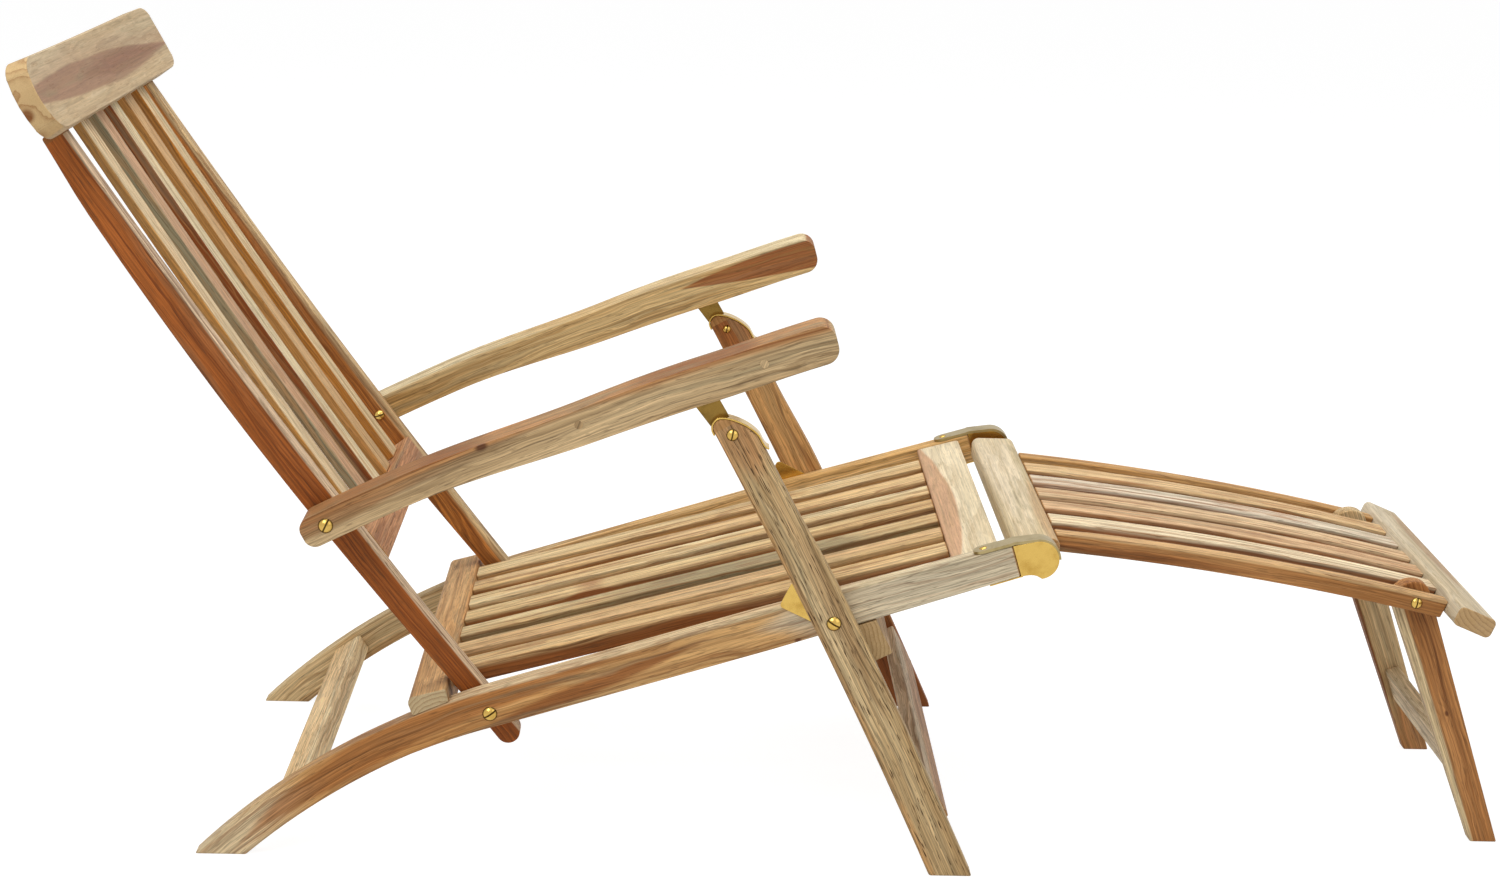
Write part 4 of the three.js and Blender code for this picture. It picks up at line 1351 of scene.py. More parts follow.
@dataclass
class Backrest(Joinery):
    """The posts, the headboard, the lower rail and the slats between them."""

    body: ClassVar[str] = "backrest"
    pivot: Point = (0.298, 0.156)
    degrees: float = 128.4
    bow_radius: float = 9.900
    axis_offset: float = -0.004
    post_depth: float = 0.024
    post_belly: float = 0.008
    post_taper: float = 0.0035
    post_arris: float = 0.0022
    post_tail: float = 0.044
    post_length: float = 0.706
    tenon: float = 0.006
    post_outer: float = 0.222
    post_inner: float = 0.200
    head_height: float = 0.077
    head_depth: float = 0.0215
    head_half: float = 0.300
    head_bow: float = 0.0045
    head_corner: float = 0.025
    head_end_bow: float = 0.013
    head_arris: float = 0.006
    head_cuts: tuple[int, int] = (15, 5)
    head_back: float = 0.016
    head_curl: float = 0.300
    head_lean: float = 2.0
    slat_count: int = 5
    slat_width: float = 0.037
    slat_depth: float = 0.009
    slat_pitch: float = 0.070
    slat_arris: float = 0.0012
    lower_from: float = 0.181
    lower_height: float = 0.036
    lower_depth: float = 0.022

    def run(self) -> Bow:
        """The line that the posts follow."""
        x, z = Bow(*self.pivot, self.degrees).point(0.0, -self.axis_offset)
        return Bow(x + SIDE_ORIGIN, z, self.degrees, -self.bow_radius)

    def head_run(self) -> Bow:
        """The curled line that the headboard follows up its face."""
        turned = math.degrees(self.post_length / self.bow_radius)
        heading = self.degrees - turned + self.head_lean
        return self.run().shifted(self.post_length, -self.head_back, heading, -self.head_curl)

    def build(self) -> None:
        """Makes the back's timber."""
        self._posts()
        self._headboard()
        self._lower_rail()
        self._slats()

    def _posts(self) -> None:
        """Makes the two posts, bellied behind and round at their tails."""
        run = self.run()
        half = self.post_depth / 2
        tail = half - self.post_tail

        def rear(along: float) -> float:
            """How far the rear of a post stands behind its line."""
            belly = self.post_belly * math.sin(math.pi * blend(along, 0.040, 0.770, 0.0, 1.0))
            return half + belly - blend(along, 0.640, self.post_length, 0.0, self.post_taper)

        places = steps(tail, self.post_length + self.tenon, 36)
        outline = [
            *(run.point(at, rear(at)) for at in places),
            *(run.point(at, -half) for at in reversed(places)),
            *arc(run, tail, 0.0, half, -90, -270, 20)[1:-1],
        ]
        near = replace(
            RUSSET, pale="ab6028", mid="94501c", dark="5c2807", seed=5.2, streak=0.6, pith_depth=0.09,
            patches=(Patch("d3b795", 0.3, -half, 2.0, 0.0022, soft=0.5, wander=0.3),),
        )
        far = replace(
            RUSSET, pale="bc7634", mid="a56124", dark="6d380e", seed=8.8, pith_depth=-0.08,
            patches=(Patch("d0b283", 0.3, -half, 2.0, 0.0045, soft=0.5, wander=0.7),),
        )
        self.pair("post", "back_post", outline, (self.post_inner, self.post_outer), (near, far), run,
                  (-ENDLESS, self.post_length), self.post_arris)

    def _headboard(self) -> None:
        """Makes the headboard: a block cut into strips, curled up its face and bowed across."""
        run = self.head_run()
        start_clean()
        bpy.ops.mesh.primitive_cube_add(size=1.0)
        board = bpy.context.active_object
        board.name = "headboard_timber"
        board.scale = (self.head_height, 2 * self.head_half, self.head_depth)
        place_in_mesh(board)
        spans = (((0, 1, 0), self.head_half), ((1, 0, 0), self.head_height / 2))
        with editing(board):
            for count, (normal, reach) in zip(self.head_cuts, spans, strict=True):
                for place in steps(-reach, reach, count + 1)[1:-1]:
                    bpy.ops.mesh.select_all(action="SELECT")
                    bpy.ops.mesh.bisect(plane_co=Vector(normal) * place, plane_no=normal)
        self._round_corners(board)
        ease(board, self.head_arris, 5)
        lean = math.radians(run.degrees)
        for vertex in board.data.vertices:
            share = vertex.co.y / self.head_half
            up = vertex.co.x / (self.head_height / 2)
            vertex.co.y -= share * up * up * self.head_end_bow
            x, z = run.point(vertex.co.x + self.head_height / 2, vertex.co.z)
            forward = self.head_bow * share * share
            vertex.co.x = x + forward * math.sin(lean)
            vertex.co.z = z - forward * math.cos(lean)
        outward(board)
        smooth(board)
        wood = replace(
            CREAM, pale="cdb895", mid="bfa681", dark="8f7150", seed=6.1, ring=0.0085, ring_share=0.35,
            pith_depth=0.004, pith_width=-0.014, wander=0.03, taper=0.05, end="d3b27e", end_ring="96622e",
            streak=0.28, ash=0.4, contrast=0.4, fleck=0.15,
            corner=(self.head_height / 2, 0.015, self.head_end_bow),
            patches=(
                Patch("ab8b6d", -0.02, 0.003, 0.42, 0.025, face=Face.WIDTH, soft=0.4, wander=0.4, share=0.5,
                      slope=-0.006),
                Patch("98745b", -0.05, -0.003, 0.37, 0.0175, face=Face.WIDTH, soft=0.10, wander=0.16, share=0.9,
                      slope=-0.007),
                Patch("835c46", 0.07, -0.004, 0.20, 0.010, face=Face.WIDTH, soft=0.5, wander=0.4, share=0.7,
                      slope=-0.004),
            ),
            knots=(Knot(-0.300, 0.004, -0.010, 0.0075, "7c4418"),),
        )
        self.dressing.timber(
            board, "headboard", self.body, wood, run, Lie.ACROSS, self.head_height / 2,
            (-self.head_half, self.head_half),
        )

    def _round_corners(self, board: Piece) -> None:
        """Bevels the four corners of the headboard's face.

        Args:
            board: The headboard, still flat.
        """
        with editing(board):
            bpy.ops.mesh.select_mode(type="VERT")
            bpy.ops.mesh.select_all(action="DESELECT")
        for vertex in board.data.vertices:
            at_end = abs(abs(vertex.co.y) - self.head_half) < MERGE_LIMIT
            at_edge = abs(abs(vertex.co.x) - self.head_height / 2) < MERGE_LIMIT
            vertex.select = at_end and at_edge
        bpy.ops.object.mode_set(mode="EDIT")
        bpy.ops.mesh.bevel(offset=self.head_corner, segments=8, affect="EDGES")
        bpy.ops.object.mode_set(mode="OBJECT")

    def _lower_rail(self) -> None:
        """Makes the rail that the back slats stand on."""
        across = self.post_inner - SEAT_GAP
        half = self.lower_height / 2
        run = self.run().shifted(
            self.lower_from + half, (self.lower_depth - self.post_depth) / 2,
            self.degrees - math.degrees(self.lower_from / self.bow_radius),
        )
        wood = replace(
            HONEY, pale="c3936a", mid="ad7a52", dark="7c4c2a", seed=3.3, pith_width=-0.06, ring=0.006,
        )
        outline = Section(half, self.lower_depth / 2).outline(run)
        self.cross("lower_rail", "lower_back_rail", outline, across, wood, run)

    def _slats(self) -> None:
        """Makes one back slat and copies it across the back."""
        run = self.run()
        start = self.lower_from + self.lower_height + SEAT_GAP
        stop = self.post_length + self.tenon

        def lean(along: float) -> float:
            """How far a slat's middle stands behind the posts' line."""
            return blend(along, start, self.post_length, 0.0023, -0.0096)

        half = self.slat_depth / 2
        outline = band(run, start, stop, 20, lambda at: lean(at) + half, lambda at: lean(at) - half)
        master = sawn("back_slat", outline, -self.slat_width / 2, self.slat_width / 2)
        ease(master, self.slat_arris)
        fronts = ("d9c29a", "bd9775", "dbc9a2", "c6a273", "d6be93")
        flanks = ("bf8c4a", "8d8264", "7c3d0e", "b07c40", "a86c28")
        edge = self.slat_width / 2
        woods = [
            replace(
                CREAM, pale=fronts[index], mid=fronts[index], dark="ab7c4a", seed=4.7 * index + 1.1,
                pith_width=0.03 * math.cos(index * 2.6), streak=0.45,
                patches=(
                    Patch(flanks[index], 0.45, -edge, 2.0, 0.0032, face=Face.WIDTH, soft=0.3, wander=0.25),
                    Patch("a9855c", 0.45, edge, 2.0, 0.0030, face=Face.WIDTH, soft=0.3, wander=0.3),
                ),
            )
            for index in range(self.slat_count)
        ]
        self.row("back_slat_timber", "back_slat", master, self.slat_pitch, woods, run, (start, stop))


@dataclass
class Armrests:
    """The two curved armrests, grooved underneath for the hooks."""

    dressing: Dressing
    back: Backrest
    pivot_along: float = 0.2553
    degrees: float = 27.0
    bow_radius: float = 2.900
    tail: float = 0.026
    reach: float = 0.532
    depth_rear: float = 0.0305
    depth_front: float = 0.0385
    tip_round: float = 0.015
    tail_round: float = 0.012
    outer_y: float = 0.2705
    inner_y: float = 0.2245
    arris: float = 0.0032
    swell: Point = (0.090, 0.280)
    swell_under: Point = (0.016, 0.0255)
    thick_from: float = 0.400
    tip_under: float = 0.0215
    hook_along: float = 0.3911
    groove_reach: Point = (0.099, 0.049)
    groove_faces: Point = (0.2545, 0.2615)
    groove_top: float = 0.0095
    groove_bottom: float = 0.045
    plugs_at: Point = (0.268, 0.458)
    plug_radius: float = 0.0042
    plug_depth: float = 0.004
    plug_proud: float = 0.00025
    plug_turn: float = 40.0

    def run(self) -> Bow:
        """The line that an armrest follows from its pivot."""
        return self.back.run().shifted(self.pivot_along, 0.0, self.degrees, -self.bow_radius)

    def under(self, along: float) -> float:
        """The place of the underside across the run."""
        sagged = blend(along, *self.swell, *self.swell_under, soft=True)
        return -blend(along, self.thick_from, self.reach, sagged, self.tip_under, soft=True)

    def over(self, along: float) -> float:
        """The place of the top across the run."""
        depth = blend(along, self.swell[0], self.thick_from, self.depth_rear, self.depth_front, soft=True)
        return self.under(along) + depth

    def build(self) -> None:
        """Makes the armrests."""
        run = self.run()
        tail = self.tail_round - self.tail
        tip = self.reach - self.tip_round
        places = steps(0.0, self.reach - 2 * self.tip_round, 36)
        outline = [
            *arc(run, tail, self.over(0.0) - self.tail_round, self.tail_round, 180, 90, 8),
            *(run.point(at, self.over(at)) for at in places),
            *arc(run, tip, self.over(self.reach) - self.tip_round, self.tip_round, 90, 0, 8),
            *arc(run, tip, self.under(self.reach) + self.tip_round, self.tip_round, 0, -90, 8),
            *(run.point(at, self.under(at)) for at in reversed(places)),
            *arc(run, tail, self.under(0.0) + self.tail_round, self.tail_round, 270, 180, 8)[:-1],
        ]
        near = replace(
            GREY, pale="cdb084", mid="b59468", dark="806542", seed=2.9, ring=0.005, ring_share=0.6,
            pith_depth=-0.07, pith_width=-0.012, taper=0.06, streak=0.5,
            patches=(
                Patch("ad7a4a", 0.20, 0.0145, 0.55, 0.0075, soft=0.4, wander=0.5, share=0.9),
                Patch("7e4a22", 0.22, 0.0135, 0.40, 0.0014, soft=0.5, wander=0.5, share=0.8),
                Patch("9d6435", 0.00, 0.004, 0.12, 0.007, soft=0.5, wander=0.8, share=0.7),
                Patch("8a6d4c", 0.15, 0.004, 0.09, 0.004, soft=0.6, wander=0.9, share=0.6, slope=0.004),
            ),
            knots=(Knot(0.172, 0.0100, -0.0225, 0.0042, "4a2412"),),
        )
        far = replace(
            HONEY, pale="d8bb86", mid="c7a268", dark="967140", seed=11.3, pith_depth=0.09, taper=0.05,
            patches=(
                Patch("ddcca4", 0.2, 0.018, 0.6, 0.006, soft=0.6, wander=0.2, share=0.9),
                Patch("95582f", 0.545, -0.002, 0.170, 0.016, soft=0.06, wander=0.12, share=0.95, slope=-0.004),
            ),
        )
        for side, wood in ((Side.RIGHT, near), (Side.LEFT, far)):
            faces = (side.sign * self.inner_y, side.sign * self.outer_y)
            arm = sawn(f"armrest_timber_{side.word}", outline, *faces)
            carve(arm, self._groove(side))
            ease(arm, self.arris, 4)
            middle = sum(faces) / 2
            name = f"armrest_{side.word}"
            self.dressing.timber(arm, name, name, wood, run, Lie.ALONG, middle, (-ENDLESS, ENDLESS))
            self._plugs(side)
            self.dressing.carried(f"arm_rack_{side.word}", DULLED)

    def _groove(self, side: Side) -> Piece:
        """The shape of the groove under an armrest.

        Args:
            side: The side of the chair.

        Returns:
            The tool that cuts it.
        """
        behind, before = self.groove_reach
        outline = band(
            self.run(), self.hook_along - behind, self.hook_along + before, 8,
            lambda _: -self.groove_top, lambda _: -self.groove_bottom,
        )
        return sawn("groove", outline, *(side.sign * face for face in self.groove_faces))

    def _plugs(self, side: Side) -> None:
        """Sets the two side-grain plugs that close the screw holes of an armrest.

        Args:
            side: The side of the chair.
        """
        run = self.run()
        for index, along in enumerate(self.plugs_at):
            plug_run = run.shifted(along, -self.plug_depth, self.degrees + self.plug_turn)
            plug = sawn(
                f"arm_plug_{side.word}_{index + 1}", circle(plug_run, self.plug_radius, 24),
                side.sign * (self.outer_y - self.plug_depth), side.sign * (self.outer_y + self.plug_proud),
            )
            ease(plug, 0.0003, 2)
            finish = replace(
                GREY, name=f"plug_timber_{side.word}_{index + 1}", pale="cdb084", mid="bd9c70",
                seed=index + 1.4, streak=0.2, ring_share=0.2,
            )
            material = finish.material(plug_run, Lie.ALONG, side.sign * self.outer_y, (-ENDLESS, ENDLESS))
            plug.data.materials.append(material)
            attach(plug, f"armrest_{side.word}")


@dataclass(kw_only=True)
class FrontLegs(Joinery):
    """The two front legs, the stop board and the stretcher between them, and the hooks on their tops."""

    body: ClassVar[str] = "front_legs"
    seat: SeatFrame
    arms: Armrests
    degrees: float = 116.8
    bow_radius: float = 7.0
    rear: float = 0.01975
    fullness: float = 0.0035
    tail: float = 0.325
    outer_y: float = 0.269
    inner_y: float = 0.247
    cap_gauge: float = 0.0018
    cap_width: float = 0.019
    cap_arris: float = 0.0005
    cap_skirt: tuple[Point, ...] = ((0.1870, 0.0030), (0.1895, 0.0012), (0.1925, 0.0002), (0.197, 0.0))
    cap_end: float = 0.224
    hook_width: float = 0.003
    hook_arris: float = 0.0004
    hook_round: float = 0.002
    hook_corners: tuple[Point, ...] = ((0.3796, -0.0178), (0.4016, -0.0178))
    hook_heel: Point = (0.4055, -0.0275)
    arris: float = 0.0022
    crown: float = 0.228
    top_bolt: Point = (0.217, 0.005)
    stop_at: Point = (-0.0385, -0.024)
    stop: Section = Section(0.0215, 0.014)
    stretcher_at: Point = (-0.217, -0.01225)
    stretcher: Section = Section(0.026, 0.0075)

    def run(self) -> Bow:
        """The line that the legs follow up from their pivot."""
        return Bow(*self.seat.leg_pivot, self.degrees, self.bow_radius)

    def front(self, along: float) -> float:
        """The place of a leg's front face across its line."""
        return -self.rear + blend(along, 0.030, 0.130, 0.0, self.fullness, soft=True)

    def top_path(self) -> Outline:
        """The rounded top of a leg, from behind to in front."""
        run = self.run()
        turns = ((0.236, 0.01075), (0.236, 0.0040), (0.220, -0.0125), (0.2035, self.front(0.2035)))
        swept = []
        for share in steps(0.0, 1.0, 14)[1:]:
            weights = [math.comb(3, k) * share**k * (1 - share) ** (3 - k) for k in range(4)]
            along, across = (sum(w * turn[axis] for w, turn in zip(weights, turns)) for axis in (0, 1))
            swept.append(run.point(along, across))
        return [*arc(run, 0.227, 0.01075, 0.009, 90, 0, 10), *swept]

    def build(self) -> None:
        """Makes the legs, the pieces between them and their brass."""
        run = self.run()
        lower = steps(0.186, -self.tail, 36)
        outline = [
            *self.top_path(),
            *(run.point(at, self.front(at)) for at in lower),
            *(run.point(at, self.rear) for at in steps(-self.tail, 0.215, 24)),
        ]
        near = replace(
            GREY, pale="d3b98c", mid="b89a6c", dark="7d5c36", seed=6.6, streak=0.38, fleck=1.0,
            pith_depth=0.07,
            contrast=1.4, patches=(
                Patch("b98c58", -0.20, 0.0195, 0.5, 0.006, soft=0.5, wander=0.5, share=0.8),
                Patch("8f6c44", 0.05, -0.006, 0.16, 0.007, soft=0.7, wander=1.0, share=0.5),
                Patch("ad7b4d", 0.21, 0.0, 0.04, 0.02, soft=0.7, wander=1.0, share=0.7),
            ),
        )
        far = replace(
            HONEY, pale="c89a62", mid="b08048", dark="7c4a20", seed=1.9, streak=0.6, pith_depth=-0.06,
            patches=(
                Patch("925228", -0.30, 0.0, 0.16, 0.05, soft=0.4, wander=0.7, share=0.9),
                Patch("9a5b2c", 0.215, 0.0, 0.04, 0.03, soft=0.5, wander=0.7, share=0.9),
            ),
        )
        self.pair("leg", "front_leg", outline, (self.inner_y, self.outer_y), (near, far), run,
                  (-ENDLESS, self.crown), self.arris, cut_at_floor)
        for side in Side:
            self._hook(side)
        self._stop_board()
        self._stretcher()

    def across_run(self, at: Point) -> Bow:
        """The line that a board between the legs follows."""
        return self.run().shifted(*at, self.degrees - math.degrees(at[0] / self.bow_radius))

    def _hook(self, side: Side) -> None:
        """Makes the brass strap over a leg's top and the hook that stands on it.

        Args:
            side: The side of the chair.
        """
        run = self.run()
        middle = side.sign * (self.inner_y + self.outer_y) / 2
        top = self.top_path()
        path = [*(run.point(at, self.front(at) - out) for at, out in self.cap_skirt), *reversed(top)]
        path.append(run.point(self.cap_end, self.rear))
        outline = strip(path, -SEAT_GAP, -SEAT_GAP - self.cap_gauge)
        half, thin = self.cap_width / 2, self.hook_width / 2
        cap = sawn(f"hook_cap_{side.word}", outline, middle - half, middle + half)
        ease(cap, self.cap_arris, 2)
        arm = self.arms.run()
        foot = beside(top[::-1], -SEAT_GAP - self.cap_gauge / 2)[::-1]
        rear, front = self.hook_corners
        hook_outline = [
            *arc(arm, *rear, self.hook_round, 180, 90, 4),
            *arc(arm, *front, self.hook_round, 90, 0, 4),
            arm.point(*self.hook_heel),
            *(foot[index] for index in (15, 13, 10, 7, 4, 2)),
        ]
        hook = sawn(f"hook_{side.word}", hook_outline, middle - thin, middle + thin)
        ease(hook, self.hook_arris, 2)
        self.dressing.metal(cap, self.body, POLISHED, f"hook_plate_{side.word}")
        self.dressing.metal(hook, self.body, DULLED)

    def _stop_board(self) -> None:
        """Makes the board close under the seat rails."""
        run = self.across_run(self.stop_at)
        seat = self.seat
        under = tapered_bar(
            seat.rail_run(), -seat.taper_behind, seat.front_reach,
            lambda along: seat.rail_half(along) + RUNNING_GAP, 20,
        )
        tool = sawn("under_rails", under, -self.outer_y - RUNNING_GAP, self.outer_y + RUNNING_GAP)
        wood = replace(
            GREY, pale="cbb086", mid="b79568", dark="83633d", seed=3.6, pith_depth=0.06, end="bfa274",
        )
        self.cross("stop_board_timber", "stop_board", self.stop.outline(run), self.inner_y - SEAT_GAP,
                   wood, run, tools=(tool,))

    def _stretcher(self) -> None:
        """Makes the stretcher low between the legs."""
        run = self.across_run(self.stretcher_at)
        wood = replace(
            HONEY, pale="c9a27a", mid="b48b68", dark="85603f", seed=5.5, pith_width=-0.05,
            patches=(Patch("d3bd9c", 0.0, 0.018, 0.9, 0.012, face=Face.WIDTH, soft=0.4, wander=0.5),),
        )
        self.cross("leg_stretcher_timber", "leg_stretcher", self.stretcher.outline(run),
                   self.inner_y - SEAT_GAP, wood, run)


@dataclass
class Footrest(Joinery):
    """The footrest's boards, rails and slats, and the pair of legs that fold under it."""

    body: ClassVar[str] = "footrest"
    leg_body: str = "footrest_legs"
    head: Point = (0.843, 0.328)
    start: Point = (0.8673, 0.326)
    degrees: float = -4.9
    bow_radius: float = 2.950
    rail_depth: float = 0.019
    rail_outer: float = 0.171
    rail_inner: float = 0.151
    slat_count: int = 5
    slat_width: float = 0.034
    slat_depth: float = 0.013
    slat_pitch: float = 0.054
    slat_proud: float = 0.003
    end_at: float = 0.4333
    end_degrees: float = -22.5
    arris: float = 0.0018
    slat_arris: float = 0.0014
    reach: float = 0.425
    head_board: Section = Section(0.024, 0.0135, 0.008, 8)
    head_reach: float = 0.212
    end_board: Section = Section(0.021, 0.0105, 0.006, 8)
    end_reach: float = 0.207
    leg_at: float = 0.381
    leg_degrees: float = -69.7
    leg_top_half: float = 0.0200
    leg_outer: float = 0.150
    leg_inner: float = 0.1315
    stretcher_at: float = 0.200
    stretcher: Section = Section(0.019, 0.008)

    def run(self) -> Bow:
        """The line that the footrest's rails follow."""
        return Bow(*self.start, self.degrees, -self.bow_radius)

    def end_run(self) -> Bow:
        """The line across the end board's width."""
        return self.run().shifted(self.end_at, self.slat_proud, self.end_degrees)

    def build(self) -> None:
        """Makes the footrest's timber."""
        self._head_board()
        self._end_board()
        self._rails()
        self._slats()
        self._legs()

    def _head_board(self) -> None:
        """Makes the round-edged board that the footrest turns about."""
        run = Bow(*self.head, 0.0)
        wood = replace(
            CREAM, pale="dac9ab", mid="cdb992", dark="a3885c", seed=2.2, ring=0.006, pith_depth=0.05,
            streak=0.25,
            contrast=0.55, fleck=0.2,
            patches=(Patch("bb8f60", -0.12, 0.018, 0.15, 0.009, face=Face.WIDTH, soft=0.4, wander=0.5, share=0.6),),
        )
        self.cross("foot_head_board", "footrest_head_board", self.head_board.outline(run), self.head_reach,
                   wood, run, self.arris)

    def _end_board(self) -> None:
        """Makes the round-edged board at the foot end."""
        run = self.end_run()
        wood = replace(
            CREAM, pale="d3c4a9", mid="c5b393", dark="a0875f", seed=8.4, ring=0.005, end="bd9865",
            end_ring="855a30",
            streak=0.3, contrast=0.6, fleck=0.2,
            patches=(Patch("a98262", 0.06, 0.010, 0.16, 0.007, face=Face.WIDTH, soft=0.3, wander=0.5, share=0.6),),
        )
        self.cross("foot_end_board", "footrest_end_board", self.end_board.outline(run), self.end_reach,
                   wood, run, self.arris)

    def _trim_end(self, piece: Piece) -> None:
        """Trims a rail or a slat at the end board's near face."""
        run = self.end_run().shifted(-self.end_board.half_width - SEAT_GAP, 0.0)
        corners = ((0.0, -0.060), (0.080, -0.060), (0.080, 0.060), (0.0, 0.060))
        carve(piece, sawn("past_end", [run.point(*corner) for corner in corners], -0.300, 0.300))

    def _rails(self) -> None:
        """Makes the footrest's two rails."""
        run = self.run()
        outline = tapered_bar(run, SEAT_GAP, self.reach, lambda _: self.rail_depth / 2, 36)
        near = replace(
            HONEY, pale="b8834d", mid="9f6b39", dark="683a13", seed=4.1, pith_depth=0.05, streak=0.75,
            patches=(
                # A pale strip along the rail's top edge: a painted highlight.
                Patch("d3ad7a", 0.35, 0.0095, 0.50, 0.0035, soft=0.3, wander=0.4, share=0.8),
                Patch("8a5226", 0.08, -0.004, 0.16, 0.007, soft=0.5, wander=0.6, share=0.7),
            ),
        )
        far = replace(HONEY, pale="c59a62", mid="b3834a", dark="835227", seed=9.7, pith_depth=-0.05)
        self.pair("foot_rail", "footrest_rail", outline, (self.rail_inner, self.rail_outer), (near, far), run,
                  (0.0, ENDLESS), self.arris, self._trim_end)

    def _slats(self) -> None:
        """Makes one footrest slat and copies it across the footrest."""
        run = self.run()
        top, low = self.slat_proud + self.slat_depth / 2, self.slat_proud - self.slat_depth / 2
        outline = band(run, SEAT_GAP, self.reach, 24, lambda _: top, lambda _: low)
        master = sawn("foot_slat", outline, -self.slat_width / 2, self.slat_width / 2)
        self._trim_end(master)
        ease(master, self.slat_arris)
        tops = ("e6d3ae", "d2ae84", "d8b98f", "e2d4ba", "dab988")
        # The slats' dark lower sides are painted shade.
        shaded_low_side = ("74401b", "7f4b24", "743f1a", "6c3a16", "7f4c26")
        woods = [
            replace(
                CREAM, pale=tops[index], mid=tops[index], dark="945c2f", seed=2.6 * index + 5.0, streak=0.6,
                pith_width=0.04 * math.cos(index * 1.7), ring=0.006, ring_share=0.6,
                patches=(Patch(shaded_low_side[index], 0.2, -0.006, 2.0, 0.0125, soft=0.2, wander=0.25, share=0.95),),
            )
            for index in range(self.slat_count)
        ]
        self.row("foot_slat_timber", "footrest_slat", master, self.slat_pitch, woods, run, (0.0, ENDLESS))

    def leg_run(self) -> Bow:
        """The line down a footrest leg from its bolt."""
        return self.run().shifted(self.leg_at, 0.0, self.leg_degrees)

    def _legs(self) -> None:
        """Makes the pair of legs and their stretcher."""
        run = self.leg_run()

        def half(along: float) -> float:
            """Half a leg's breadth at a place down it."""
            return blend(along, 0.004, 0.300, self.leg_top_half, 0.013)

        crown = [
            run.point(0.016 * math.cos(math.radians(a)), self.leg_top_half * math.sin(math.radians(a)))
            for a in steps(-90, -270, 24)[1:-1]
        ]
        outline = tapered_bar(run, 0.004, 0.320, half, 20) + crown
        near = replace(
            RUSSET, pale="bd8650", mid="a56e3b", dark="683814", seed=7.3, streak=0.6, pith_depth=0.05,
            patches=(Patch("d8c094", -0.02, -0.0215, 0.44, 0.0110, soft=0.12, wander=0.25, slope=0.0080),),
            knots=(Knot(0.135, 0.001, -0.009, 0.0022),),
        )
        far = replace(
            CREAM, pale="d2b88c", mid="bf9d6c", dark="8c6a40", seed=10.1, pith_depth=-0.05, patches=(
                Patch("8a5027", 0.15, -0.0185, 0.5, 0.0045, soft=0.2, wander=0.3, slope=0.004),
                Patch("b0713c", 0.32, 0.0, 0.12, 0.03, soft=0.4, wander=0.6, share=0.8),
            ),
        )
        self.pair("foot_leg", "footrest_leg", outline, (self.leg_inner, self.leg_outer), (near, far), run,
                  (-ENDLESS, ENDLESS), self.arris, cut_at_floor, self.leg_body)
        low = run.shifted(self.stretcher_at, 0.0)
        wood = replace(CREAM, pale="dcc9a6", mid="cbb28a", dark="8f6f48", seed=6.9)
        self.cross("foot_leg_stretcher", "footrest_leg_stretcher", self.stretcher.outline(low),
                   self.leg_inner - SEAT_GAP, wood, low, body=self.leg_body)


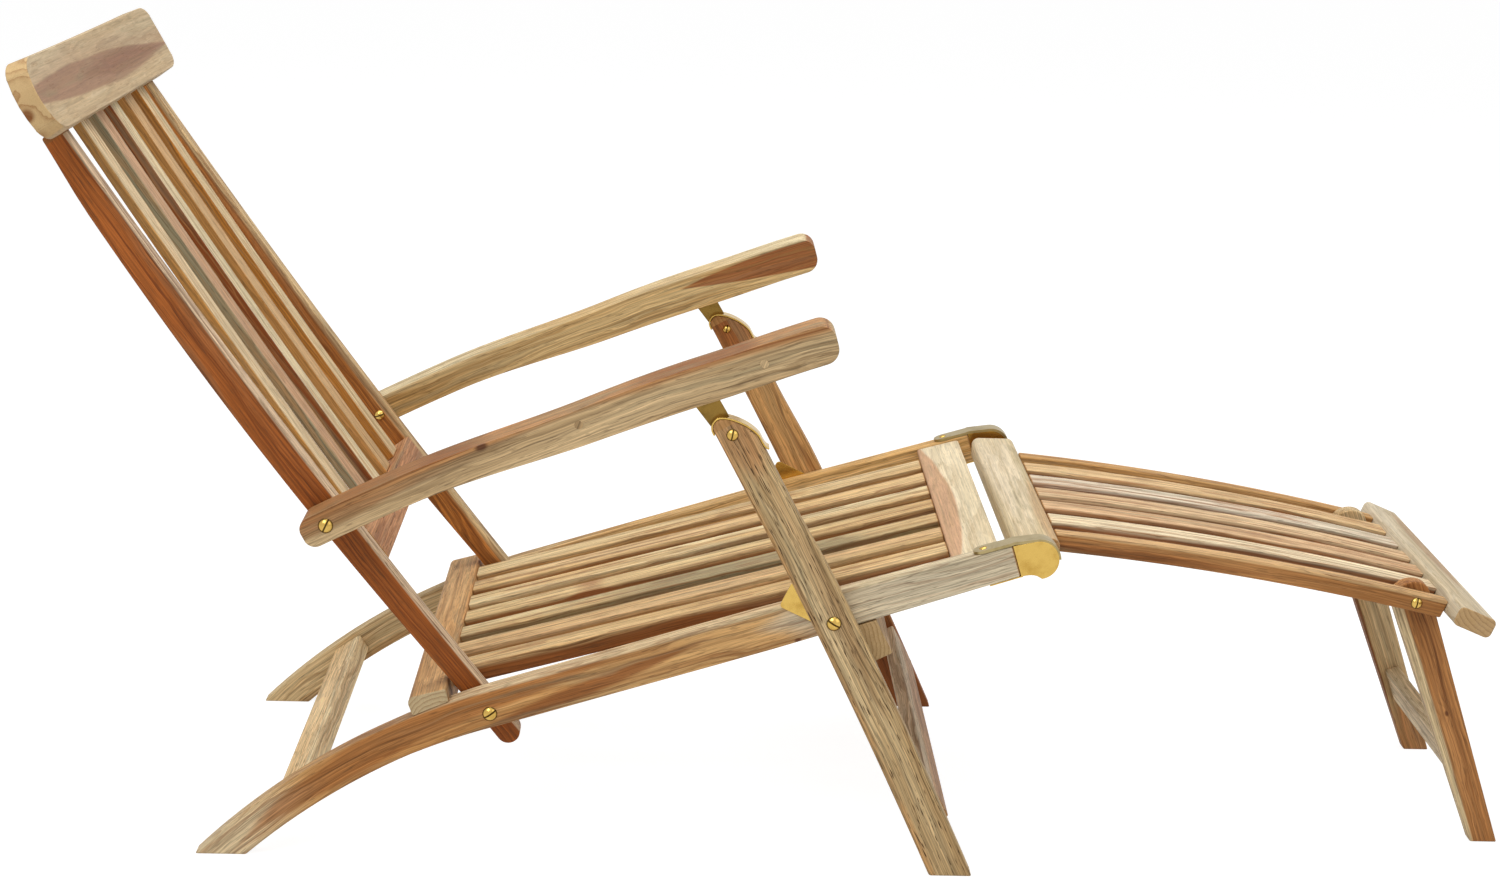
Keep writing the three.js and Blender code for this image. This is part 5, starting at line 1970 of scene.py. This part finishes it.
@dataclass
class Fastenings:
    """The bolts, the plates on the rails and the brass round the rails' front ends."""

    dressing: Dressing
    seat: SeatFrame
    arms: Armrests
    legs: FrontLegs
    footrest: Footrest
    head_radius: float = 0.0075
    head_height: float = 0.004
    slot_width: float = 0.0018
    shank_radius: float = 0.003
    nut_radius: float = 0.006
    small: float = 0.8
    ear_nose: float = 0.0195
    ear_notch: tuple[Point, ...] = (
        (0.0174, -0.0222), (0.0155, -0.0203), (0.0130, -0.0188), (0.0100, -0.0177), (0.0060, -0.0169),
    )
    strap_nose: float = 0.0185
    strap_gauge: float = 0.0030
    strap_half: float = 0.0103
    strap_gap: float = 0.0004
    strap_arris: float = 0.0009
    screw_radius: float = 0.0042
    screw_rise: float = 0.42
    tongue_at: float = 0.1625
    ear_faces: tuple[Point, Point] = ((0.2435, 0.245), (0.228, 0.2295))
    ear_half: float = 0.0163
    strap_inner: float = 0.2235
    sole_from: float = 0.159
    sole_half: float = 0.0085
    plate_face: float = 0.2467
    pin_radius: float = 0.004
    pin_ends: Point = (0.186, 0.231)
    brass_arris: float = 0.0004

    def build(self) -> None:
        """Makes every bolt, plate and pin."""
        seat, arms, legs, foot = self.seat, self.arms, self.legs, self.footrest
        leg_top = legs.run().point(*legs.top_bolt)
        leg_pivot = Bow(*seat.leg_pivot, 0.0).point(0.0)
        arm = arms.run().point(0.0)
        back = Bow(*arms.back.pivot, 0.0).point(0.0)
        foot_leg = foot.leg_run().point(0.0)
        post = arms.back.post_inner
        for side in Side:
            word = side.word
            far = side is Side.LEFT
            self._bolt(
                f"back_pivot_bolt_{word}", "back_bolts", back, side, (seat.outer_y, post), 70 if far else 35,
            )
            self._bolt(f"arm_pivot_bolt_{word}", f"arm_bolt_{word}", arm, side, (arms.outer_y, post),
                       20 if far else 65)
            self._bolt(
                f"leg_pivot_bolt_{word}", seat.body, leg_pivot, side, (legs.outer_y, seat.inner_y), -30,
            )
            self._bolt(f"leg_top_bolt_{word}", legs.body, leg_top, side, (legs.outer_y, legs.inner_y), 80,
                       self.small)
            self._bolt(f"footrest_leg_bolt_{word}", foot.body, foot_leg, side,
                       (foot.rail_outer, foot.leg_inner), 80, self.small)
            self._plate(side)
            self._rail_end(side)
            self._pin(side)

    def _turned(self, name: str, radius: float, height: float, at: Point, y: float, sign: float) -> Piece:
        """Makes a dome that stands on a side face.

        Args:
            name: Its name.
            radius: The radius of its foot.
            height: How far it stands proud.
            at: Its centre in the side view.
            y: The Y place of the face.
            sign: The sign of Y that it points to.

        Returns:
            The dome.
        """
        ball = (radius * radius + height * height) / (2 * height)
        start_clean()
        bpy.ops.mesh.primitive_uv_sphere_add(segments=40, ring_count=56, radius=ball)
        dome = bpy.context.active_object
        dome.name = name
        with editing(dome):
            bpy.ops.mesh.bisect(
                plane_co=(0, 0, ball - height), plane_no=(0, 0, 1), use_fill=True, clear_inner=True,
            )
        dome.location = (at[0], y - sign * (ball - height), at[1])
        dome.rotation_euler = (-sign * math.pi / 2, 0, 0)
        place_in_mesh(dome)
        outward(dome)
        return dome

    def _shank(self, name: str, radius: float, at: Point, first: float, last: float) -> Piece:
        """Makes a plain round bar across the chair.

        Args:
            name: Its name.
            radius: Its radius.
            at: Its centre in the side view.
            first: The Y place of its first end.
            last: The Y place of its other end.

        Returns:
            The bar.
        """
        return sawn(name, circle(Bow(at[0] + SIDE_ORIGIN, at[1], 0.0), radius, 32), first, last)

    def _bolt(
        self, node: str, body: str, at: Point, side: Side, faces: Point, turn: float, share: float = 1.0,
    ) -> None:
        """Makes a slotted bolt with its nut.

        Args:
            node: The node that it stands for.
            body: The body that it rides on.
            at: Its axis in the side view.
            side: The side of the chair.
            faces: The Y distances of the faces under its head and under its nut.
            turn: The slot's direction, in degrees.
            share: Its size as a share of the large bolts.
        """
        sign = side.sign
        outer, inner = faces
        radius = self.head_radius * share
        height = self.head_height * share
        head = self._turned("bolt_head", radius, height, at, sign * outer, sign)
        slot_run = Bow(at[0] + SIDE_ORIGIN, at[1], turn)
        half = self.slot_width * share / 2
        slot = sawn(
            "bolt_slot", rounded_bar(slot_run, -radius, radius, half, half * 0.4, 2),
            sign * (outer + height * 0.15), sign * (outer + height + 0.002),
        )
        carve(head, slot)
        smooth(head)
        nut = self._turned("bolt_nut", self.nut_radius * share, height, at, sign * inner, -sign)
        smooth(nut)
        ends = (sign * (outer + 0.0005), sign * (inner - 0.0005))
        shank = self._shank("bolt_shank", self.shank_radius * share, at, *ends)
        bolt = joined(f"brass_{node}", shank, head, nut)
        smooth(bolt)
        finish = replace(POLISHED, name=f"brass_of_{node}", axis=at, radius=radius, turn=turn, slot_half=half)
        self.dressing.metal(bolt, body, finish, node)

    def _plate(self, side: Side) -> None:
        """Makes the plate on a rail's outer side behind the front leg.

        Args:
            side: The side of the chair.
        """
        run = Bow(*self.seat.leg_pivot, -25.0)
        plate = sawn(
            f"plate_{side.word}", rounded_bar(run, -0.053, 0.013, 0.014, 0.004),
            side.sign * (self.seat.outer_y + SEAT_GAP), side.sign * self.plate_face,
        )
        ease(plate, self.brass_arris, 2)
        self.dressing.metal(plate, self.seat.body, POLISHED, f"pivot_plate_{side.word}")

    def _rail_end(self, side: Side) -> None:
        """Makes the brass round a rail's front end, which carries the footrest's pin.

        Args:
            side: The side of the chair.
        """
        run = self.seat.rail_run()
        nose = Bow(*self.footrest.head, self.seat.slope)
        reach = self.seat.front_reach
        half = self.ear_half
        ear = [
            run.point(reach + SEAT_GAP, half),
            *arc(nose, 0.0, 0.0, self.ear_nose, 85, -98, 30),
            *(run.point(reach + ahead, below) for ahead, below in self.ear_notch),
            run.point(reach + SEAT_GAP, -half),
        ]
        plates = [
            sawn(name, ear, *(side.sign * face for face in faces))
            for name, faces in zip(("ear_outer", "ear_inner"), self.ear_faces, strict=True)
        ]
        middle = (self.seat.outer_y + self.strap_inner) / 2
        strap = self._strap(side, nose, middle)
        sole_places = steps(self.sole_from, reach - 0.001, 4)
        sole_path = [
            *(run.point(at, -self.seat.rail_half(at) - SEAT_GAP) for at in sole_places),
            run.point(reach + 0.0022, -half - SEAT_GAP),
        ]
        sole = sawn(
            "sole", strip(sole_path, 0.0, -0.0015),
            side.sign * (middle - self.sole_half), side.sign * (middle + self.sole_half),
        )
        for piece in (sole, *plates):
            ease(piece, self.brass_arris, 2)
        fitting = joined(f"rail_end_brass_{side.word}", plates[0], plates[1], sole)
        self.dressing.metal(fitting, self.seat.body, POLISHED, f"rail_end_fitting_{side.word}")
        self.dressing.metal(strap, self.seat.body, AGED)
        self._strap_screw(side, middle)

    def _strap(self, side: Side, nose: Bow, middle: float) -> Piece:
        """Makes the strap over a rail's front end, with its rounded tongue.

        Args:
            side: The side of the chair.
            nose: The place of the footrest's pin, along the rail.
            middle: The Y distance of the strap's middle.

        Returns:
            The strap.
        """
        run = self.seat.rail_run()
        reach = self.seat.front_reach
        gauge, half, gap = self.strap_gauge, self.strap_half, self.strap_gap
        places = steps(self.tongue_at, reach - 0.002, 6)
        path = [
            *(run.point(at, self.seat.rail_half(at) + gap) for at in places),
            run.point(reach + 0.002, self.ear_half + 0.0006),
            *arc(nose, 0.0, 0.0, self.strap_nose, 85, -15, 20),
        ]
        low, high = side.sign * (middle - half), side.sign * (middle + half)
        strap = sawn("strap", strip(path, 0.0, gauge), low, high)
        start_clean()
        bpy.ops.mesh.primitive_cylinder_add(vertices=48, radius=half, depth=gauge)
        tongue = bpy.context.active_object
        tongue.rotation_euler = (0, -math.radians(self.seat.slope), 0)
        x, z = run.point(self.tongue_at, self.seat.rail_half(self.tongue_at) + gap + gauge / 2)
        tongue.location = (x, side.sign * middle, z)
        place_in_mesh(tongue)
        strap = joined(f"rail_strap_{side.word}", strap, tongue)
        ease(strap, self.strap_arris)
        return strap

    def _strap_screw(self, side: Side, middle: float) -> None:
        """Makes the slotted screw in a strap's tongue.

        Args:
            side: The side of the chair.
            middle: The Y distance of the strap's middle.
        """
        run = self.seat.rail_run()
        x, z = run.point(self.tongue_at, self.seat.rail_half(self.tongue_at) + self.strap_gauge)
        start_clean()
        bpy.ops.mesh.primitive_uv_sphere_add(segments=24, ring_count=16, radius=self.screw_radius)
        screw = bpy.context.active_object
        screw.name = f"strap_screw_{side.word}"
        screw.scale = (1, 1, self.screw_rise)
        screw.rotation_euler = (0, -math.radians(self.seat.slope), 0)
        screw.location = (x, side.sign * middle, z)
        place_in_mesh(screw)
        centre = Bow(x + SIDE_ORIGIN, z, self.seat.slope)
        carve(screw, self._screw_slot(centre, side.sign * middle))
        smooth(screw)
        self.dressing.metal(screw, self.seat.body)

    def _screw_slot(self, centre: Bow, y: float) -> Piece:
        """The shape of a small screw's slot."""
        corners = ((-0.005, 0.0006), (0.005, 0.0006), (0.005, 0.004), (-0.005, 0.004))
        return sawn("screw_slot", [centre.point(*corner) for corner in corners], y - 0.0006, y + 0.0006)

    def _pin(self, side: Side) -> None:
        """Makes the pin that the footrest turns on.

        Args:
            side: The side of the chair.
        """
        at = Bow(*self.footrest.head, 0.0).point(0.0)
        ends = (side.sign * end for end in self.pin_ends)
        pin = self._shank(f"footrest_pin_{side.word}", self.pin_radius, at, *ends)
        ease(pin, self.brass_arris, 2)
        self.dressing.metal(pin, self.seat.body, POLISHED, f"footrest_pivot_pin_{side.word}")


@dataclass
class Studio:
    """The white studio: the camera, the lamps, the world and the floor."""

    location: Triple = (-0.1163, -2.8641, 1.0872)
    heading: float = -1.464
    pitch: float = -13.849
    roll: float = 1.586
    lens: float = 66.0
    sensor: float = 36.0
    floor_size: float = 40.0
    floor_tone: Colour = (0.85, 0.85, 0.85, 1.0)
    floor_white: float = 0.68
    floor_glow: float = 1.32
    world_level: float = 0.34
    lamps: tuple[tuple[str, Triple, float, float], ...] = (
        ("key", (-1.6, -2.4, 3.2), 1.8, 58.0),
        ("fill", (2.6, -2.0, 2.2), 2.6, 18.0),
        ("top", (0.2, 0.3, 3.4), 2.6, 64.0),
    )
    lamps_aim: Triple = (0.0, 0.0, 0.35)

    def build(self) -> None:
        """Sets up the whole studio."""
        self._camera()
        self._lamps()
        self._world()
        self._floor()
        bpy.context.scene.view_settings.view_transform = "Standard"

    def _camera(self) -> None:
        """Sets the camera where the photograph was taken from."""
        data = bpy.data.cameras.new("camera")
        data.lens = self.lens
        data.sensor_width = self.sensor
        camera = bpy.data.objects.new("camera", data)
        bpy.context.collection.objects.link(camera)
        turn = (
            Matrix.Rotation(math.radians(self.heading), 4, "Z")
            @ Matrix.Rotation(math.radians(90 + self.pitch), 4, "X")
            @ Matrix.Rotation(math.radians(self.roll), 4, "Z")
        )
        camera.matrix_world = Matrix.Translation(self.location) @ turn
        bpy.context.scene.camera = camera

    def _lamps(self) -> None:
        """Hangs the soft lamps."""
        for name, place, size, power in self.lamps:
            data = bpy.data.lights.new(name, "AREA")
            data.shape = "SQUARE"
            data.size = size
            data.energy = power
            lamp = bpy.data.objects.new(name, data)
            bpy.context.collection.objects.link(lamp)
            lamp.location = place
            aim = Vector(self.lamps_aim) - Vector(place)
            lamp.rotation_euler = aim.to_track_quat("-Z", "Y").to_euler()

    def _world(self) -> None:
        """Lights the whole scene softly and shows plain white behind it."""
        world = bpy.data.worlds.new("studio_white")
        world.use_nodes = True
        bpy.context.scene.world = world
        graph = Graph(world)
        level = graph.seen() * (1.0 - self.world_level) + self.world_level
        background = graph.node("ShaderNodeBackground", inputs={"Color": WHITE, "Strength": level})
        graph.finish(background, "ShaderNodeOutputWorld")

    def _floor(self) -> None:
        """Lays the white floor, which the camera sees as white but for the chair's shadow."""
        start_clean()
        bpy.ops.mesh.primitive_plane_add(size=self.floor_size)
        floor = bpy.context.active_object
        floor.name = "studio_floor"
        material = bpy.data.materials.new("studio_floor")
        graph = Graph(material)
        diffuse = graph.node("ShaderNodeBsdfDiffuse", inputs={"Color": self.floor_tone})
        glow = graph.node("ShaderNodeEmission", inputs={"Color": WHITE, "Strength": self.floor_glow})
        share = graph.seen() * self.floor_white
        mixed = graph.node(
            "ShaderNodeMixShader", inputs={0: share, 1: diffuse.outputs[0], 2: glow.outputs[0]},
        )
        graph.finish(mixed)
        floor.data.materials.append(material)
        floor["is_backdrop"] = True


def write_sizes() -> None:
    """Works out the box of the frame and the box of the dressed chair, and keeps neither."""
    boxes = {"cad": CAD_BOX, "visual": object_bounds()}
    {name: [list(corner) for corner in box] for name, box in boxes.items()}


def main() -> None:
    """Builds the chair and its studio, sub-assembly by sub-assembly."""
    logging.basicConfig(level=logging.INFO, format="%(message)s")
    dressing = Dressing()
    seat = SeatFrame(dressing)
    back = Backrest(dressing)
    arms = Armrests(dressing, back)
    legs = FrontLegs(dressing, seat=seat, arms=arms)
    footrest = Footrest(dressing)
    fastenings = Fastenings(dressing, seat, arms, legs, footrest)
    for assembly in (seat, back, arms, legs, footrest, fastenings, Studio()):
        assembly.build()
        log.info("%s done", type(assembly).__name__)
    write_sizes()


if __name__ == "__main__":
    main()
